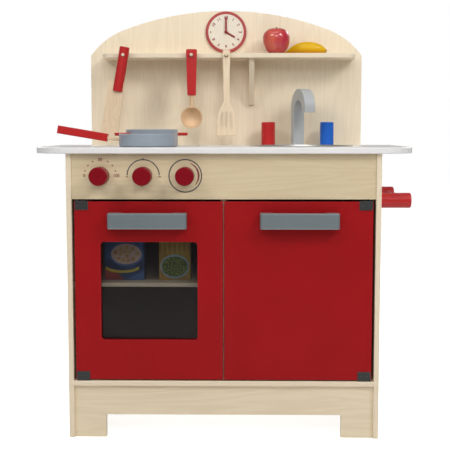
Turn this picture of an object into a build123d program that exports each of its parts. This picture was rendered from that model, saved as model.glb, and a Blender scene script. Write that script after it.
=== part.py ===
"""Wooden play kitchen with an oven, a cupboard, a sink, a hob, a shelf and its loose cookware.

Millimetres and degrees. +Z is up, +X is to the right as seen from the front, and the front faces -Y.
The origin is the middle of the overall width and depth, on the floor.
"""

import os
from math import atan2, cos, radians, sin, sqrt

from build123d import *

os.makedirs("parts", exist_ok=True)

# Cabinet
cabinet_width = 600.0
cabinet_depth = 340.0
side_height = 552.0
ply = 10.0
edge_round = 1.2
seat_gap = 0.3

# Base: bottom board and skirt with its cut-out
bottom_board_height = 103.0
skirt_setback = 6.0
skirt_cutout_width = 456.0
skirt_cutout_height = 45.0
skirt_cutout_radius = 15.0

# Control panel
panel_height = 87.0
panel_setback = 3.0
panel_screw_inset = 20.0
bottom_screw_inset = 51.0

# Inside the cabinet
hardboard = 3.0
divider_gap = 0.5
oven_shelf_top = 301.5
oven_shelf_thickness = 8.0
oven_shelf_front = 22.0
oven_shelf_back_gap = 8.0
shelf_side_gap = 0.5
shelf_pin_diameter = 5.0
shelf_pin_length = 18.0
shelf_pin_depth = 8.0
shelf_pin_inset = 45.0
corner_block_size = 20.0
corner_block_inset = 30.0
catch_length = 30.0
catch_width = 12.0
catch_height = 15.0
catch_drop = 38.0
catch_gap = 0.4
strike_width = 14.0
strike_height = 14.0
strike_thickness = 1.5

# Worktop
worktop_width = 732.0
worktop_thickness = 12.0
worktop_overhang = 10.0
worktop_corner_radius = 75.0
worktop_edge_round = 2.0

# Backboard
overall_height = 858.5
backboard_bottom = 470.0
crown_radius = 640.0
shoulder_radius = 163.0
shoulder_inset = 132.0
shoulder_corner_radius = 20.0

# Upper shelf with its bracket and pegs
upper_shelf_top = 761.0
upper_shelf_thickness = 10.0
upper_shelf_width = 546.0
upper_shelf_depth = 75.0
upper_shelf_shift = 7.0
upper_shelf_corner_radius = 22.0
bracket_x = 56.5
bracket_thickness = 11.0
bracket_height = 98.0
bracket_top_depth = 62.0
bracket_toe = 10.0
shelf_screw_shares = (-0.33, -0.08, 0.33)
bracket_screw_shares = (0.25, 0.7)
peg_diameter = 7.0
peg_reach = 24.0
peg_socket_depth = 18.0
peg_tip_round = 2.0
peg_x = (-217.6, -72.5, 2.0)

# Clock
clock_height = 812.0
clock_diameter = 90.0
clock_thickness = 5.0
clock_pin_diameter = 3.0
clock_pin_head = 5.0
clock_pin_head_thickness = 1.0
clock_hand_thickness = 1.5
clock_hand_gap = 0.3
minute_hand_length = 31.0
hour_hand_length = 21.0
hand_width = 3.6
hand_boss = 7.0
hour_hand_angle = -120.0
hand_bore_clearance = 0.05

# Doors
door_thickness = 10.0
door_setback = 2.0
door_side_gap = 4.8
door_split_gap = 2.0
door_top_gap = 4.0
door_bottom_gap = 2.5
door_edge_round = 1.0

# Oven window
window_width = 186.0
window_height = 190.5
window_outer_inset = 49.5
window_bottom_inset = 77.5
window_corner_radius = 7.0
pane_thickness = 2.0
pane_lap = 10.0
pane_corner_radius = 8.0
pane_screw_diameter = 2.5
pane_screw_head = 6.0
pane_screw_head_height = 1.6
pane_screw_depth = 6.0

# Door hinge clips, pins and bushes
clip_width = 25.0
clip_height = 16.0
clip_wall = 1.6
clip_end_inset = 1.6
clip_cap = 1.2
hinge_inset = 24.0
pin_diameter = 3.5
pin_running_clearance = 0.05
bush_diameter = 6.0
bush_length = 9.0
bush_end_gap = 0.4

# Door handles
handle_length = 150.0
handle_height = 30.0
handle_reach = 25.0
handle_bar = 13.0
handle_foot = 20.0
handle_foot_slope = 12.0
handle_corner_round = 5.0
handle_edge_round = 1.5
handle_inner_offset = 68.5
handle_top_drop = 21.0
handle_screw_inset = 10.0

# Knobs
knob_diameter = 35.0
knob_length = 36.0
knob_gap = 0.5
knob_edge_round = 2.5
knob_height = 510.0
knob_x = (-234.4, -152.7, -72.6)

# Screws
screw_diameter = 4.0
screw_clearance = 0.2
screw_head = 8.0
screw_head_height = 2.4
screw_length = 30.0
washer_diameter = 11.0
washer_thickness = 1.0
washer_gap = 0.3
side_screw_head = 7.5
side_screw_diameter = 3.5

# Towel rail
rail_post_diameter = 29.5
rail_post_length = 63.0
rail_height = 460.5
rail_front_y = 50.0
rail_spacing = 216.0
rail_bar_diameter = 14.0
rail_bar_setback = 17.0
rail_socket_depth = 10.0
rail_post_round = 2.0

# Sink
sink_x = 157.0
sink_y = 168.0
sink_opening = 200.0
sink_rim = 212.0
sink_depth = 58.0
sink_wall = 1.4
sink_rim_thickness = 1.6
sink_floor = 120.0
sink_floor_round = 16.0
sink_drain = 26.0
sink_drain_step = 1.0
sink_clearance = 1.0

# Tap
tap_y = 300.0
tap_height = 121.0
tap_reach = 72.0
tap_thickness = 25.0
tap_leg = 16.0
tap_spout_height = 70.0
tap_crown = 40.0
tap_arch_top = 96.0
tap_turn = 21.0
tap_edge_round = 1.5
tap_spigot = 12.0
tap_spigot_clearance = 0.1
valve_spacing = 128.0
valve_diameter = 30.0
valve_height = 50.0
valve_round = 1.5
valve_gap = 0.3

# Pan
pan_x = -150.0
pan_y = 72.0
pan_diameter = 112.0
pan_height = 25.0
vessel_wall = 4.0
vessel_floor = 4.0
vessel_foot_round = 2.5
vessel_inner_round = 3.0
pan_handle_rise = 9.5
pan_neck_length = 36.0
pan_neck_width = 13.0
pan_neck_thickness = 6.0
pan_neck_start = 13.0
pan_neck_tenon = 16.0
pan_grip_start = 27.0
pan_grip_length = 99.0
pan_grip_size = 15.5
pan_grip_round = 2.0

# Pot
pot_x = -152.0
pot_y = 188.0
pot_diameter = 108.0
pot_height = 34.0
pot_handle_diameter = 6.5
pot_handle_reach = 33.0
pot_handle_height = 24.0
pot_handle_turn = 36.5

# Cleaver
utensil_gap = 0.5
utensil_hole = 8.5
hang_gap = 0.3
cleaver_tilt = 9.8
cleaver_handle_diameter = 21.5
cleaver_handle_top = 17.8
cleaver_handle_length = 95.3
cleaver_blade_thickness = 6.0
cleaver_blade_left = 21.0
cleaver_blade_right_top = 12.0
cleaver_blade_right_bottom = 15.6
cleaver_blade_top = 56.0
cleaver_blade_bottom = 167.0
cleaver_blade_slant = 4.0
cleaver_round = 1.5

# Ladle
ladle_handle_top = 13.0
ladle_handle_length = 98.0
ladle_handle_top_width = 23.4
ladle_handle_bottom_width = 18.1
ladle_handle_thickness = 12.0
ladle_corner_round = 3.0
ladle_neck_diameter = 8.5
ladle_tenon = 12.0
ladle_bowl_drop = 131.5
ladle_bowl_radius = 24.0
ladle_bowl_wall = 3.0
ladle_bowl_depth = 19.0

# Spatula
spatula_top = 11.0
spatula_handle_top_width = 16.4
spatula_handle_bottom_width = 12.8
spatula_flare_top = 98.0
spatula_flare_bottom = 121.0
spatula_blade_top_width = 36.5
spatula_blade_bottom_width = 43.5
spatula_length = 182.0
spatula_thickness = 7.0
spatula_slot_width = 5.2
spatula_slot_length = 35.0
spatula_slot_pitch = 9.6
spatula_slot_drop = 119.0
spatula_round = 3.0

# Fruit
fruit_rest_gap = 0.3
apple_x = 109.5
apple_setback = 27.0
apple_diameter = 58.0
apple_height = 53.5
apple_flat = 11.0
apple_dimple_depth = 6.0
apple_profile = ((0.83, 0.22), (1.0, 0.56), (0.8, 0.9), (0.42, 1.0))
apple_foot_tangent = (1.0, 0.25)
apple_dimple_tangent = (-1.0, -0.35)
apple_stem_diameter = 3.5
apple_stem_rise = 3.0
banana_left = 131.0
banana_length = 96.0
banana_radius = 14.0
banana_bow_radius = 120.0
banana_tip_radius = 3.5
banana_axis_lift = 13.8
banana_setback = 57.0
banana_top_share = 0.56
banana_stations = (0.0, 0.1, 0.24, 0.42, 0.64, 0.82, 0.94, 1.0)
banana_sections = (0.28, 0.26, 0.66, 0.97, 1.0, 0.83, 0.5, 0.22)

# Food cartons
carton_setback = 56.0
carton_width = (79.0, 62.0)
carton_height = (110.0, 104.0)
carton_depth = (36.0, 30.0)
carton_x = (-196.5, -97.0)
carton_round = 0.8

# Places worked out from the sizes above
panel_face = panel_setback
knob_front = knob_length + knob_gap - panel_face
overall_depth = knob_front + cabinet_depth + ply
front = -overall_depth / 2 + knob_front
back = front + cabinet_depth
half_width = cabinet_width / 2
inner_half = half_width - ply
bottom_top = bottom_board_height + ply
panel_bottom = side_height - panel_height
panel_front_y = front + panel_setback
panel_back_y = panel_front_y + ply
panel_mid_y = panel_front_y + ply / 2
worktop_top = side_height + worktop_thickness
worktop_front = front - worktop_overhang
skirt_front_y = front + skirt_setback
skirt_mid_y = skirt_front_y + ply / 2
back_panel_front = back - hardboard
door_front_y = front + door_setback
door_mid_y = door_front_y + door_thickness / 2
door_back_y = door_front_y + door_thickness
door_bottom = bottom_top + door_bottom_gap
door_top = panel_bottom - door_top_gap
door_height = door_top - door_bottom
door_outer = inner_half - door_side_gap
door_inner = door_split_gap / 2
door_width = door_outer - door_inner
hinge_x = half_width - hinge_inset
divider_front = door_back_y + divider_gap
screw_radius = screw_diameter / 2
screw_hole_radius = screw_radius + screw_clearance / 2
side_screw_radius = side_screw_diameter / 2


def save(builder, node):
    """Label a finished piece and write it to its own file."""
    builder.part.label = node
    export_step(builder.part, f"parts/{node}.step")


def yz(x):
    """The plane at x that is seen from the right: local X is +Y and local Y is +Z."""
    return Plane(origin=(x, 0, 0), x_dir=(0, 1, 0), z_dir=(1, 0, 0))


def xz(y):
    """The plane at y that is seen from the front: local X is +X, local Y is +Z, and it faces -Y."""
    return Plane(origin=(0, y, 0), x_dir=(1, 0, 0), z_dir=(0, -1, 0))


def xz_back(y):
    """The plane at y whose normal is +Y; its local X is -X and its local Y is +Z."""
    return Plane(origin=(0, y, 0), x_dir=(-1, 0, 0), z_dir=(0, 1, 0))


# Side panels, with countersunk holes for the cabinet screws and pockets for the shelf pins
side_screw_places = [
    (panel_mid_y, panel_bottom + panel_screw_inset),
    (panel_mid_y, side_height - panel_screw_inset),
    (front + bottom_screw_inset, bottom_board_height + ply / 2),
    (back - bottom_screw_inset, bottom_board_height + ply / 2),
    (skirt_mid_y, bottom_board_height / 2),
]
oven_shelf_bottom = oven_shelf_top - oven_shelf_thickness
shelf_pin_z = oven_shelf_bottom - shelf_pin_diameter / 2
shelf_pin_places = [
    (front + oven_shelf_front + shelf_pin_inset, shelf_pin_z),
    (back_panel_front - oven_shelf_back_gap - shelf_pin_inset, shelf_pin_z),
]
rail_screw_places = [
    (front + rail_front_y, rail_height),
    (front + rail_front_y + rail_spacing, rail_height),
]
side_screw_head_depth = (side_screw_head - side_screw_diameter) / 2

with BuildPart() as left_side:
    with BuildSketch(yz(-half_width)):
        with Locations((front + cabinet_depth / 2, side_height / 2)):
            Rectangle(cabinet_depth, side_height)
    extrude(amount=ply)
    front_edges = left_side.faces().sort_by(Axis.Y)[0].edges().filter_by(Axis.Z)
    fillet(front_edges, edge_round)
    with BuildSketch(yz(-half_width)):
        with Locations(*side_screw_places):
            Circle(side_screw_radius)
    extrude(amount=ply, mode=Mode.SUBTRACT)
    with BuildSketch(yz(-half_width)):
        with Locations(*side_screw_places):
            Circle(side_screw_head / 2)
    extrude(amount=side_screw_head_depth, taper=45, mode=Mode.SUBTRACT)
    with BuildSketch(yz(-inner_half - shelf_pin_depth)):
        with Locations(*shelf_pin_places):
            Circle(shelf_pin_diameter / 2)
    extrude(amount=shelf_pin_depth, mode=Mode.SUBTRACT)
save(left_side, "left_side")

with BuildPart() as right_side:
    with BuildSketch(yz(half_width)):
        with Locations((front + cabinet_depth / 2, side_height / 2)):
            Rectangle(cabinet_depth, side_height)
    extrude(amount=-ply)
    front_edges = right_side.faces().sort_by(Axis.Y)[0].edges().filter_by(Axis.Z)
    fillet(front_edges, edge_round)
    with BuildSketch(yz(half_width)):
        with Locations(*side_screw_places):
            Circle(side_screw_radius)
    extrude(amount=-ply, mode=Mode.SUBTRACT)
    with BuildSketch(yz(half_width)):
        with Locations(*side_screw_places):
            Circle(side_screw_head / 2)
    extrude(amount=-side_screw_head_depth, taper=45, mode=Mode.SUBTRACT)
    with BuildSketch(yz(half_width)):
        with Locations(*rail_screw_places):
            Circle(screw_hole_radius)
    extrude(amount=-ply, mode=Mode.SUBTRACT)
save(right_side, "right_side")

# Bottom board, with screw holes in its ends and sockets for the lower hinge bushes
bush_radius = bush_diameter / 2
pin_radius = pin_diameter / 2
bottom_screw_places = side_screw_places[2:4]
with BuildPart() as bottom_board:
    with BuildSketch(Plane.XY.offset(bottom_board_height)):
        with Locations((0, (front + back_panel_front) / 2)):
            Rectangle(2 * inner_half, back_panel_front - front)
    extrude(amount=ply)
    long_front = bottom_board.faces().sort_by(Axis.Y)[0].edges().filter_by(Axis.X)
    fillet(long_front, edge_round)
    for side in (-1, 1):
        with BuildSketch(yz(side * inner_half)):
            with Locations(*bottom_screw_places):
                Circle(side_screw_radius)
        extrude(amount=-side * (screw_length - ply), mode=Mode.SUBTRACT)
    with BuildSketch(Plane.XY.offset(bottom_top)):
        with Locations((-hinge_x, door_mid_y), (hinge_x, door_mid_y)):
            Circle(bush_radius)
    extrude(amount=-bush_length, mode=Mode.SUBTRACT)
save(bottom_board, "bottom_board")

# Skirt below the bottom board: the cut-out leaves a foot at each end
with BuildPart() as skirt:
    with BuildSketch(xz(skirt_front_y)) as skirt_outline:
        with Locations((0, bottom_board_height / 2)):
            Rectangle(2 * inner_half, bottom_board_height)
        with Locations((0, skirt_cutout_height / 2)):
            Rectangle(skirt_cutout_width, skirt_cutout_height, mode=Mode.SUBTRACT)
        notch_corners = skirt_outline.vertices().filter_by_position(
            Axis.Z, skirt_cutout_height, skirt_cutout_height
        )
        fillet(notch_corners, skirt_cutout_radius)
    extrude(amount=-ply)
    for side in (-1, 1):
        with BuildSketch(yz(side * inner_half)):
            with Locations(side_screw_places[4]):
                Circle(side_screw_radius)
        extrude(amount=-side * (screw_length - ply), mode=Mode.SUBTRACT)
save(skirt, "skirt")

# Divider between the oven and the cupboard
with BuildPart() as center_divider:
    with BuildSketch(yz(-ply / 2)):
        with Locations(((divider_front + back_panel_front) / 2, (bottom_top + side_height) / 2)):
            Rectangle(back_panel_front - divider_front, side_height - bottom_top)
        with Locations(((divider_front + panel_back_y) / 2, (panel_bottom + side_height) / 2)):
            Rectangle(panel_back_y - divider_front, panel_height, mode=Mode.SUBTRACT)
    extrude(amount=ply)
    with BuildSketch(yz(-ply / 2)):
        with Locations(*shelf_pin_places):
            Circle(shelf_pin_diameter / 2)
    extrude(amount=shelf_pin_depth, mode=Mode.SUBTRACT)
save(center_divider, "center_divider")

# Thin back panel that closes the cabinet
with BuildPart() as back_panel:
    with BuildSketch(Plane.XY.offset(bottom_board_height)):
        with Locations((0, back - hardboard / 2)):
            Rectangle(2 * inner_half, hardboard)
    extrude(amount=side_height - bottom_board_height)
save(back_panel, "back_panel")

# Oven shelf on four pins
shelf_left = -inner_half + shelf_side_gap
shelf_right = -ply / 2 - shelf_side_gap
shelf_front_y = front + oven_shelf_front
shelf_back_y = back_panel_front - oven_shelf_back_gap
with BuildPart() as oven_shelf:
    with BuildSketch(Plane.XY.offset(oven_shelf_bottom)):
        with Locations(((shelf_left + shelf_right) / 2, (shelf_front_y + shelf_back_y) / 2)):
            Rectangle(shelf_right - shelf_left, shelf_back_y - shelf_front_y)
    extrude(amount=oven_shelf_thickness)
    shelf_edges = oven_shelf.faces().sort_by(Axis.Y)[0].edges().filter_by(Axis.X)
    fillet(shelf_edges, edge_round)
save(oven_shelf, "oven_shelf")

with BuildPart() as shelf_pins:
    with BuildSketch(yz(-inner_half - shelf_pin_depth)):
        with Locations(*shelf_pin_places):
            Circle(shelf_pin_diameter / 2)
    extrude(amount=shelf_pin_length)
    with BuildSketch(yz(-ply / 2 + shelf_pin_depth)):
        with Locations(*shelf_pin_places):
            Circle(shelf_pin_diameter / 2)
    extrude(amount=-shelf_pin_length)
save(shelf_pins, "shelf_pins")

# Blocks that hold the worktop to the side panels
block_x = inner_half - corner_block_size / 2
block_front_y = panel_back_y + corner_block_inset
block_back_y = back_panel_front - corner_block_inset
with BuildPart() as corner_blocks:
    with BuildSketch(Plane.XY.offset(side_height)):
        with Locations(
            (-block_x, block_front_y),
            (block_x, block_front_y),
            (-block_x, block_back_y),
            (block_x, block_back_y),
        ):
            Rectangle(corner_block_size, corner_block_size)
    extrude(amount=-corner_block_size)
save(corner_blocks, "corner_blocks")

# Control panel, with holes for the knob screws and sockets for the upper hinge bushes
panel_screw_places = side_screw_places[0:2]
with BuildPart() as control_panel:
    with BuildSketch(xz(panel_front_y)):
        with Locations((0, (panel_bottom + side_height) / 2)):
            Rectangle(2 * inner_half, panel_height)
    extrude(amount=-ply)
    lower_edge = control_panel.faces().sort_by(Axis.Y)[0].edges().sort_by(Axis.Z)[0]
    fillet(lower_edge, edge_round)
    with BuildSketch(xz(panel_front_y)):
        with Locations(*[(x, knob_height) for x in knob_x]):
            Circle(screw_hole_radius)
    extrude(amount=-ply, mode=Mode.SUBTRACT)
    for side in (-1, 1):
        with BuildSketch(yz(side * inner_half)):
            with Locations(*panel_screw_places):
                Circle(side_screw_radius)
        extrude(amount=-side * (screw_length - ply), mode=Mode.SUBTRACT)
    with BuildSketch(Plane.XY.offset(panel_bottom)):
        with Locations((-hinge_x, door_mid_y), (hinge_x, door_mid_y)):
            Circle(bush_radius)
    extrude(amount=bush_length, mode=Mode.SUBTRACT)
save(control_panel, "control_panel")

# Plastic bushes that the hinge pins turn in
bush_bore = pin_radius + pin_running_clearance
with BuildPart() as hinge_bushes:
    for start, direction in ((panel_bottom, 1), (bottom_top, -1)):
        with BuildSketch(Plane.XY.offset(start)):
            with Locations((-hinge_x, door_mid_y), (hinge_x, door_mid_y)):
                Circle(bush_radius)
                Circle(bush_bore, mode=Mode.SUBTRACT)
        extrude(amount=direction * bush_length)
save(hinge_bushes, "hinge_bushes")

# Worktop with the sink cut-out and the holes for the tap and its two valves
worktop_depth = back - worktop_front
hot_x = sink_x - valve_spacing / 2
cold_x = sink_x + valve_spacing / 2
tap_place = (sink_x, front + tap_y)
hot_place = (hot_x, front + tap_y)
cold_place = (cold_x, front + tap_y)
sink_place = (sink_x, front + sink_y)
pan_place = (pan_x, front + pan_y)
pot_place = (pot_x, front + pot_y)
tap_bore = tap_spigot / 2 + tap_spigot_clearance / 2
with BuildPart() as worktop:
    with BuildSketch(Plane.XY.offset(side_height)) as worktop_outline:
        with Locations((0, (worktop_front + back) / 2)):
            Rectangle(worktop_width, worktop_depth)
        front_corners = worktop_outline.vertices().group_by(Axis.Y)[0]
        fillet(front_corners, worktop_corner_radius)
    extrude(amount=worktop_thickness)
    rim_edges = worktop.edges().filter_by(Plane.XY).filter_by(
        lambda edge: edge.center().Y < back - edge_round
    )
    fillet(rim_edges, worktop_edge_round)
    with BuildSketch(Plane.XY.offset(side_height)):
        with Locations(sink_place):
            Circle(sink_opening / 2)
        with Locations(tap_place):
            Circle(tap_bore)
        with Locations(hot_place, cold_place):
            Circle(screw_hole_radius)
    extrude(amount=worktop_thickness, mode=Mode.SUBTRACT)
save(worktop, "worktop")

# Backboard: a wide crown arc runs into a tighter shoulder arc on each side
crown_center_z = overall_height - crown_radius
shoulder_x = half_width - shoulder_inset
shoulder_z = crown_center_z + sqrt((crown_radius - shoulder_radius) ** 2 - shoulder_x**2)
shoulder_end_z = shoulder_z + sqrt(shoulder_radius**2 - shoulder_inset**2)
crown_turn = atan2(shoulder_x, shoulder_z - crown_center_z)
join_x = crown_radius * sin(crown_turn)
join_z = crown_center_z + crown_radius * cos(crown_turn)
shoulder_mid_turn = (crown_turn + atan2(shoulder_inset, shoulder_end_z - shoulder_z)) / 2
shoulder_mid_x = shoulder_x + shoulder_radius * sin(shoulder_mid_turn)
shoulder_mid_z = shoulder_z + shoulder_radius * cos(shoulder_mid_turn)
backboard_screw_inset = ply / 2
backboard_screw_places = [
    (side * (half_width - backboard_screw_inset), z)
    for side in (-1, 1)
    for z in (backboard_bottom + panel_screw_inset, side_height - panel_screw_inset)
]
shelf_screw_places = [
    (upper_shelf_shift + upper_shelf_width * share, upper_shelf_top - upper_shelf_thickness / 2)
    for share in shelf_screw_shares
]
bracket_screw_places = [
    (bracket_x, upper_shelf_top - upper_shelf_thickness - bracket_height * share)
    for share in bracket_screw_shares
]
with BuildPart() as backboard:
    with BuildSketch(xz(back)) as backboard_outline:
        with BuildLine():
            Polyline(
                (-half_width, shoulder_end_z),
                (-half_width, backboard_bottom),
                (half_width, backboard_bottom),
                (half_width, shoulder_end_z),
            )
            ThreePointArc(
                (half_width, shoulder_end_z), (shoulder_mid_x, shoulder_mid_z), (join_x, join_z)
            )
            ThreePointArc((join_x, join_z), (0, overall_height), (-join_x, join_z))
            ThreePointArc(
                (-join_x, join_z), (-shoulder_mid_x, shoulder_mid_z), (-half_width, shoulder_end_z)
            )
        make_face()
        shoulder_corners = backboard_outline.vertices().filter_by_position(
            Axis.Z, shoulder_end_z - seat_gap, shoulder_end_z + seat_gap
        )
        fillet(shoulder_corners, shoulder_corner_radius)
    extrude(amount=-ply)
    with BuildSketch(xz(back)):
        with Locations(*backboard_screw_places, *shelf_screw_places, *bracket_screw_places):
            Circle(side_screw_radius)
        with Locations((0, clock_height)):
            Circle(clock_pin_diameter / 2)
    extrude(amount=-ply, mode=Mode.SUBTRACT)
save(backboard, "backboard")

# Upper shelf with rounded front corners and sockets for the pegs
upper_shelf_bottom = upper_shelf_top - upper_shelf_thickness
upper_shelf_front = back - upper_shelf_depth
peg_z = upper_shelf_top - upper_shelf_thickness / 2
back_screw_depth = screw_length - ply
with BuildPart() as upper_shelf:
    with BuildSketch(Plane.XY.offset(upper_shelf_bottom)) as upper_shelf_outline:
        with Locations((upper_shelf_shift, back - upper_shelf_depth / 2)):
            Rectangle(upper_shelf_width, upper_shelf_depth)
        shelf_corners = upper_shelf_outline.vertices().group_by(Axis.Y)[0]
        fillet(shelf_corners, upper_shelf_corner_radius)
    extrude(amount=upper_shelf_thickness)
    shelf_rims = upper_shelf.edges().filter_by(Plane.XY).filter_by(
        lambda edge: edge.center().Y < back - edge_round
    )
    fillet(shelf_rims, edge_round)
    with BuildSketch(xz(upper_shelf_front)):
        with Locations(*[(x, peg_z) for x in peg_x]):
            Circle(peg_diameter / 2)
    extrude(amount=-peg_socket_depth, mode=Mode.SUBTRACT)
    with BuildSketch(xz(back)):
        with Locations(*shelf_screw_places):
            Circle(side_screw_radius)
    extrude(amount=back_screw_depth, mode=Mode.SUBTRACT)
save(upper_shelf, "upper_shelf")

# Tapered bracket below the shelf
with BuildPart() as shelf_bracket:
    with BuildSketch(yz(bracket_x - bracket_thickness / 2)):
        with BuildLine():
            Polyline(
                (back - bracket_top_depth, upper_shelf_bottom),
                (back, upper_shelf_bottom),
                (back, upper_shelf_bottom - bracket_height),
                (back - bracket_toe, upper_shelf_bottom - bracket_height),
                (back - bracket_top_depth, upper_shelf_bottom - bracket_toe),
                close=True,
            )
        make_face()
    extrude(amount=bracket_thickness)
    with BuildSketch(xz(back)):
        with Locations(*bracket_screw_places):
            Circle(side_screw_radius)
    extrude(amount=back_screw_depth / 2, mode=Mode.SUBTRACT)
save(shelf_bracket, "shelf_bracket")

# Pegs in the front edge of the shelf
with BuildPart() as utensil_pegs:
    with BuildSketch(xz(upper_shelf_front + peg_socket_depth)):
        with Locations(*[(x, peg_z) for x in peg_x]):
            Circle(peg_diameter / 2)
    extrude(amount=peg_socket_depth + peg_reach)
    peg_tips = utensil_pegs.faces().filter_by(Axis.Y).group_by(Axis.Y)[0].edges()
    fillet(peg_tips, peg_tip_round)
save(utensil_pegs, "utensil_pegs")

# Clock: a round face on the backboard, two hands and the pin that they turn on
clock_face_y = back - clock_thickness
hour_hand_y = clock_face_y - clock_hand_gap
minute_hand_y = hour_hand_y - clock_hand_thickness - clock_hand_gap
pin_head_y = minute_hand_y - clock_hand_thickness - clock_hand_gap
with BuildPart() as clock_face:
    with BuildSketch(xz(back)):
        with Locations((0, clock_height)):
            Circle(clock_diameter / 2)
            Circle(clock_pin_diameter / 2, mode=Mode.SUBTRACT)
    extrude(amount=clock_thickness)
    face_rim = clock_face.faces().sort_by(Axis.Y)[0].edges().sort_by(SortBy.LENGTH)[-1]
    fillet(face_rim, edge_round)
save(clock_face, "clock_face")

with BuildPart() as clock_pin:
    with BuildSketch(xz(back + ply)):
        with Locations((0, clock_height)):
            Circle(clock_pin_diameter / 2)
    extrude(amount=back + ply - pin_head_y)
    with BuildSketch(xz(pin_head_y)):
        with Locations((0, clock_height)):
            Circle(clock_pin_head / 2)
    extrude(amount=clock_pin_head_thickness)
save(clock_pin, "clock_pin")

hand_bore = clock_pin_diameter / 2 + hand_bore_clearance
for node, hand_y, hand_length, hand_angle in (
    ("hour_hand", hour_hand_y, hour_hand_length, hour_hand_angle),
    ("minute_hand", minute_hand_y, minute_hand_length, 0.0),
):
    turn = radians(90 + hand_angle)
    with BuildPart() as clock_hand:
        with BuildSketch(xz(hand_y)):
            with Locations((0, clock_height)):
                Circle(hand_boss / 2)
            with Locations(
                Location(
                    (cos(turn) * hand_length / 2, clock_height + sin(turn) * hand_length / 2, 0),
                    (0, 0, hand_angle),
                )
            ):
                Rectangle(hand_width, hand_length)
            with Locations(
                Location(
                    (cos(turn) * hand_length, clock_height + sin(turn) * hand_length, 0),
                    (0, 0, hand_angle),
                )
            ):
                Circle(hand_width / 2)
            with Locations((0, clock_height)):
                Circle(hand_bore, mode=Mode.SUBTRACT)
        extrude(amount=clock_hand_thickness)
    save(clock_hand, node)

# Doors: each turns on pins near its outer edge
handle_mid_x = door_inner + handle_inner_offset + handle_length / 2
handle_mid_z = door_top - handle_top_drop - handle_height / 2
handle_screw_x = (
    handle_mid_x - handle_length / 2 + handle_screw_inset,
    handle_mid_x + handle_length / 2 - handle_screw_inset,
)
window_mid_x = -(door_outer - window_outer_inset - window_width / 2)
window_mid_z = door_bottom + window_bottom_inset + window_height / 2
clip_outer_x = door_outer - clip_end_inset
clip_mid_x = clip_outer_x - clip_width / 2
pane_screw_x = window_width / 2 + pane_lap / 2
pane_screw_z = window_height / 2 + pane_lap / 2
pane_screw_places = [
    (window_mid_x + right * pane_screw_x, window_mid_z + up * pane_screw_z)
    for right in (-1, 1)
    for up in (-1, 1)
]
with BuildPart() as left_door_panel:
    with BuildSketch(xz(door_front_y)):
        with Locations((-(door_inner + door_outer) / 2, (door_bottom + door_top) / 2)):
            Rectangle(door_width, door_height)
    extrude(amount=-door_thickness)
    fillet(left_door_panel.faces().sort_by(Axis.Y)[0].edges(), door_edge_round)
    with BuildSketch(xz(door_front_y)):
        with Locations((window_mid_x, window_mid_z)):
            RectangleRounded(window_width, window_height, window_corner_radius)
        with Locations(*[(-x, handle_mid_z) for x in handle_screw_x]):
            Circle(screw_hole_radius)
    extrude(amount=-door_thickness, mode=Mode.SUBTRACT)
    with BuildSketch(xz(door_back_y)):
        with Locations(*pane_screw_places):
            Circle(pane_screw_diameter / 2)
    extrude(amount=pane_screw_depth, mode=Mode.SUBTRACT)
save(left_door_panel, "left_door_panel")

with BuildPart() as right_door_panel:
    with BuildSketch(xz(door_front_y)):
        with Locations(((door_inner + door_outer) / 2, (door_bottom + door_top) / 2)):
            Rectangle(door_width, door_height)
    extrude(amount=-door_thickness)
    fillet(right_door_panel.faces().sort_by(Axis.Y)[0].edges(), door_edge_round)
    with BuildSketch(xz(door_front_y)):
        with Locations(*[(x, handle_mid_z) for x in handle_screw_x]):
            Circle(screw_hole_radius)
    extrude(amount=-door_thickness, mode=Mode.SUBTRACT)
save(right_door_panel, "right_door_panel")

# Window pane behind the oven door, held by four small screws
with BuildPart() as window_pane:
    with BuildSketch(xz(door_back_y)):
        with Locations((window_mid_x, window_mid_z)):
            RectangleRounded(
                window_width + 2 * pane_lap, window_height + 2 * pane_lap, pane_corner_radius
            )
        with Locations(*pane_screw_places):
            Circle(pane_screw_diameter / 2, mode=Mode.SUBTRACT)
    extrude(amount=-pane_thickness)
save(window_pane, "window_pane")

# Handles: a flat bar whose two feet stand on the door
half_handle = handle_length / 2
handle_face_y = door_front_y - handle_reach
handle_recess = handle_reach - handle_bar
for node, side in (("left_handle", -1), ("right_handle", 1)):
    with BuildPart() as handle:
        with BuildSketch(Plane.XY.offset(handle_mid_z - handle_height / 2)) as handle_plan:
            with Locations((side * handle_mid_x, door_front_y - handle_reach / 2)):
                Rectangle(handle_length, handle_reach)
            outer_corners = handle_plan.vertices().group_by(Axis.Y)[0]
            fillet(outer_corners, handle_corner_round)
            with BuildLine(mode=Mode.PRIVATE) as finger_outline:
                Polyline(
                    (side * handle_mid_x - half_handle + handle_foot, door_front_y),
                    (
                        side * handle_mid_x - half_handle + handle_foot + handle_foot_slope,
                        door_front_y - handle_recess,
                    ),
                    (
                        side * handle_mid_x + half_handle - handle_foot - handle_foot_slope,
                        door_front_y - handle_recess,
                    ),
                    (side * handle_mid_x + half_handle - handle_foot, door_front_y),
                    close=True,
                )
            make_face(finger_outline.edges(), mode=Mode.SUBTRACT)
        extrude(amount=handle_height)
        face_edges = handle.edges().filter_by(
            lambda edge: edge.center().Y < handle_face_y + handle_corner_round
        ).filter_by(Plane.XY)
        fillet(face_edges, handle_edge_round)
        with BuildSketch(xz(door_front_y)):
            with Locations(*[(side * x, handle_mid_z) for x in handle_screw_x]):
                Circle(screw_radius)
        extrude(amount=handle_bar, mode=Mode.SUBTRACT)
    save(handle, node)

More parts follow.
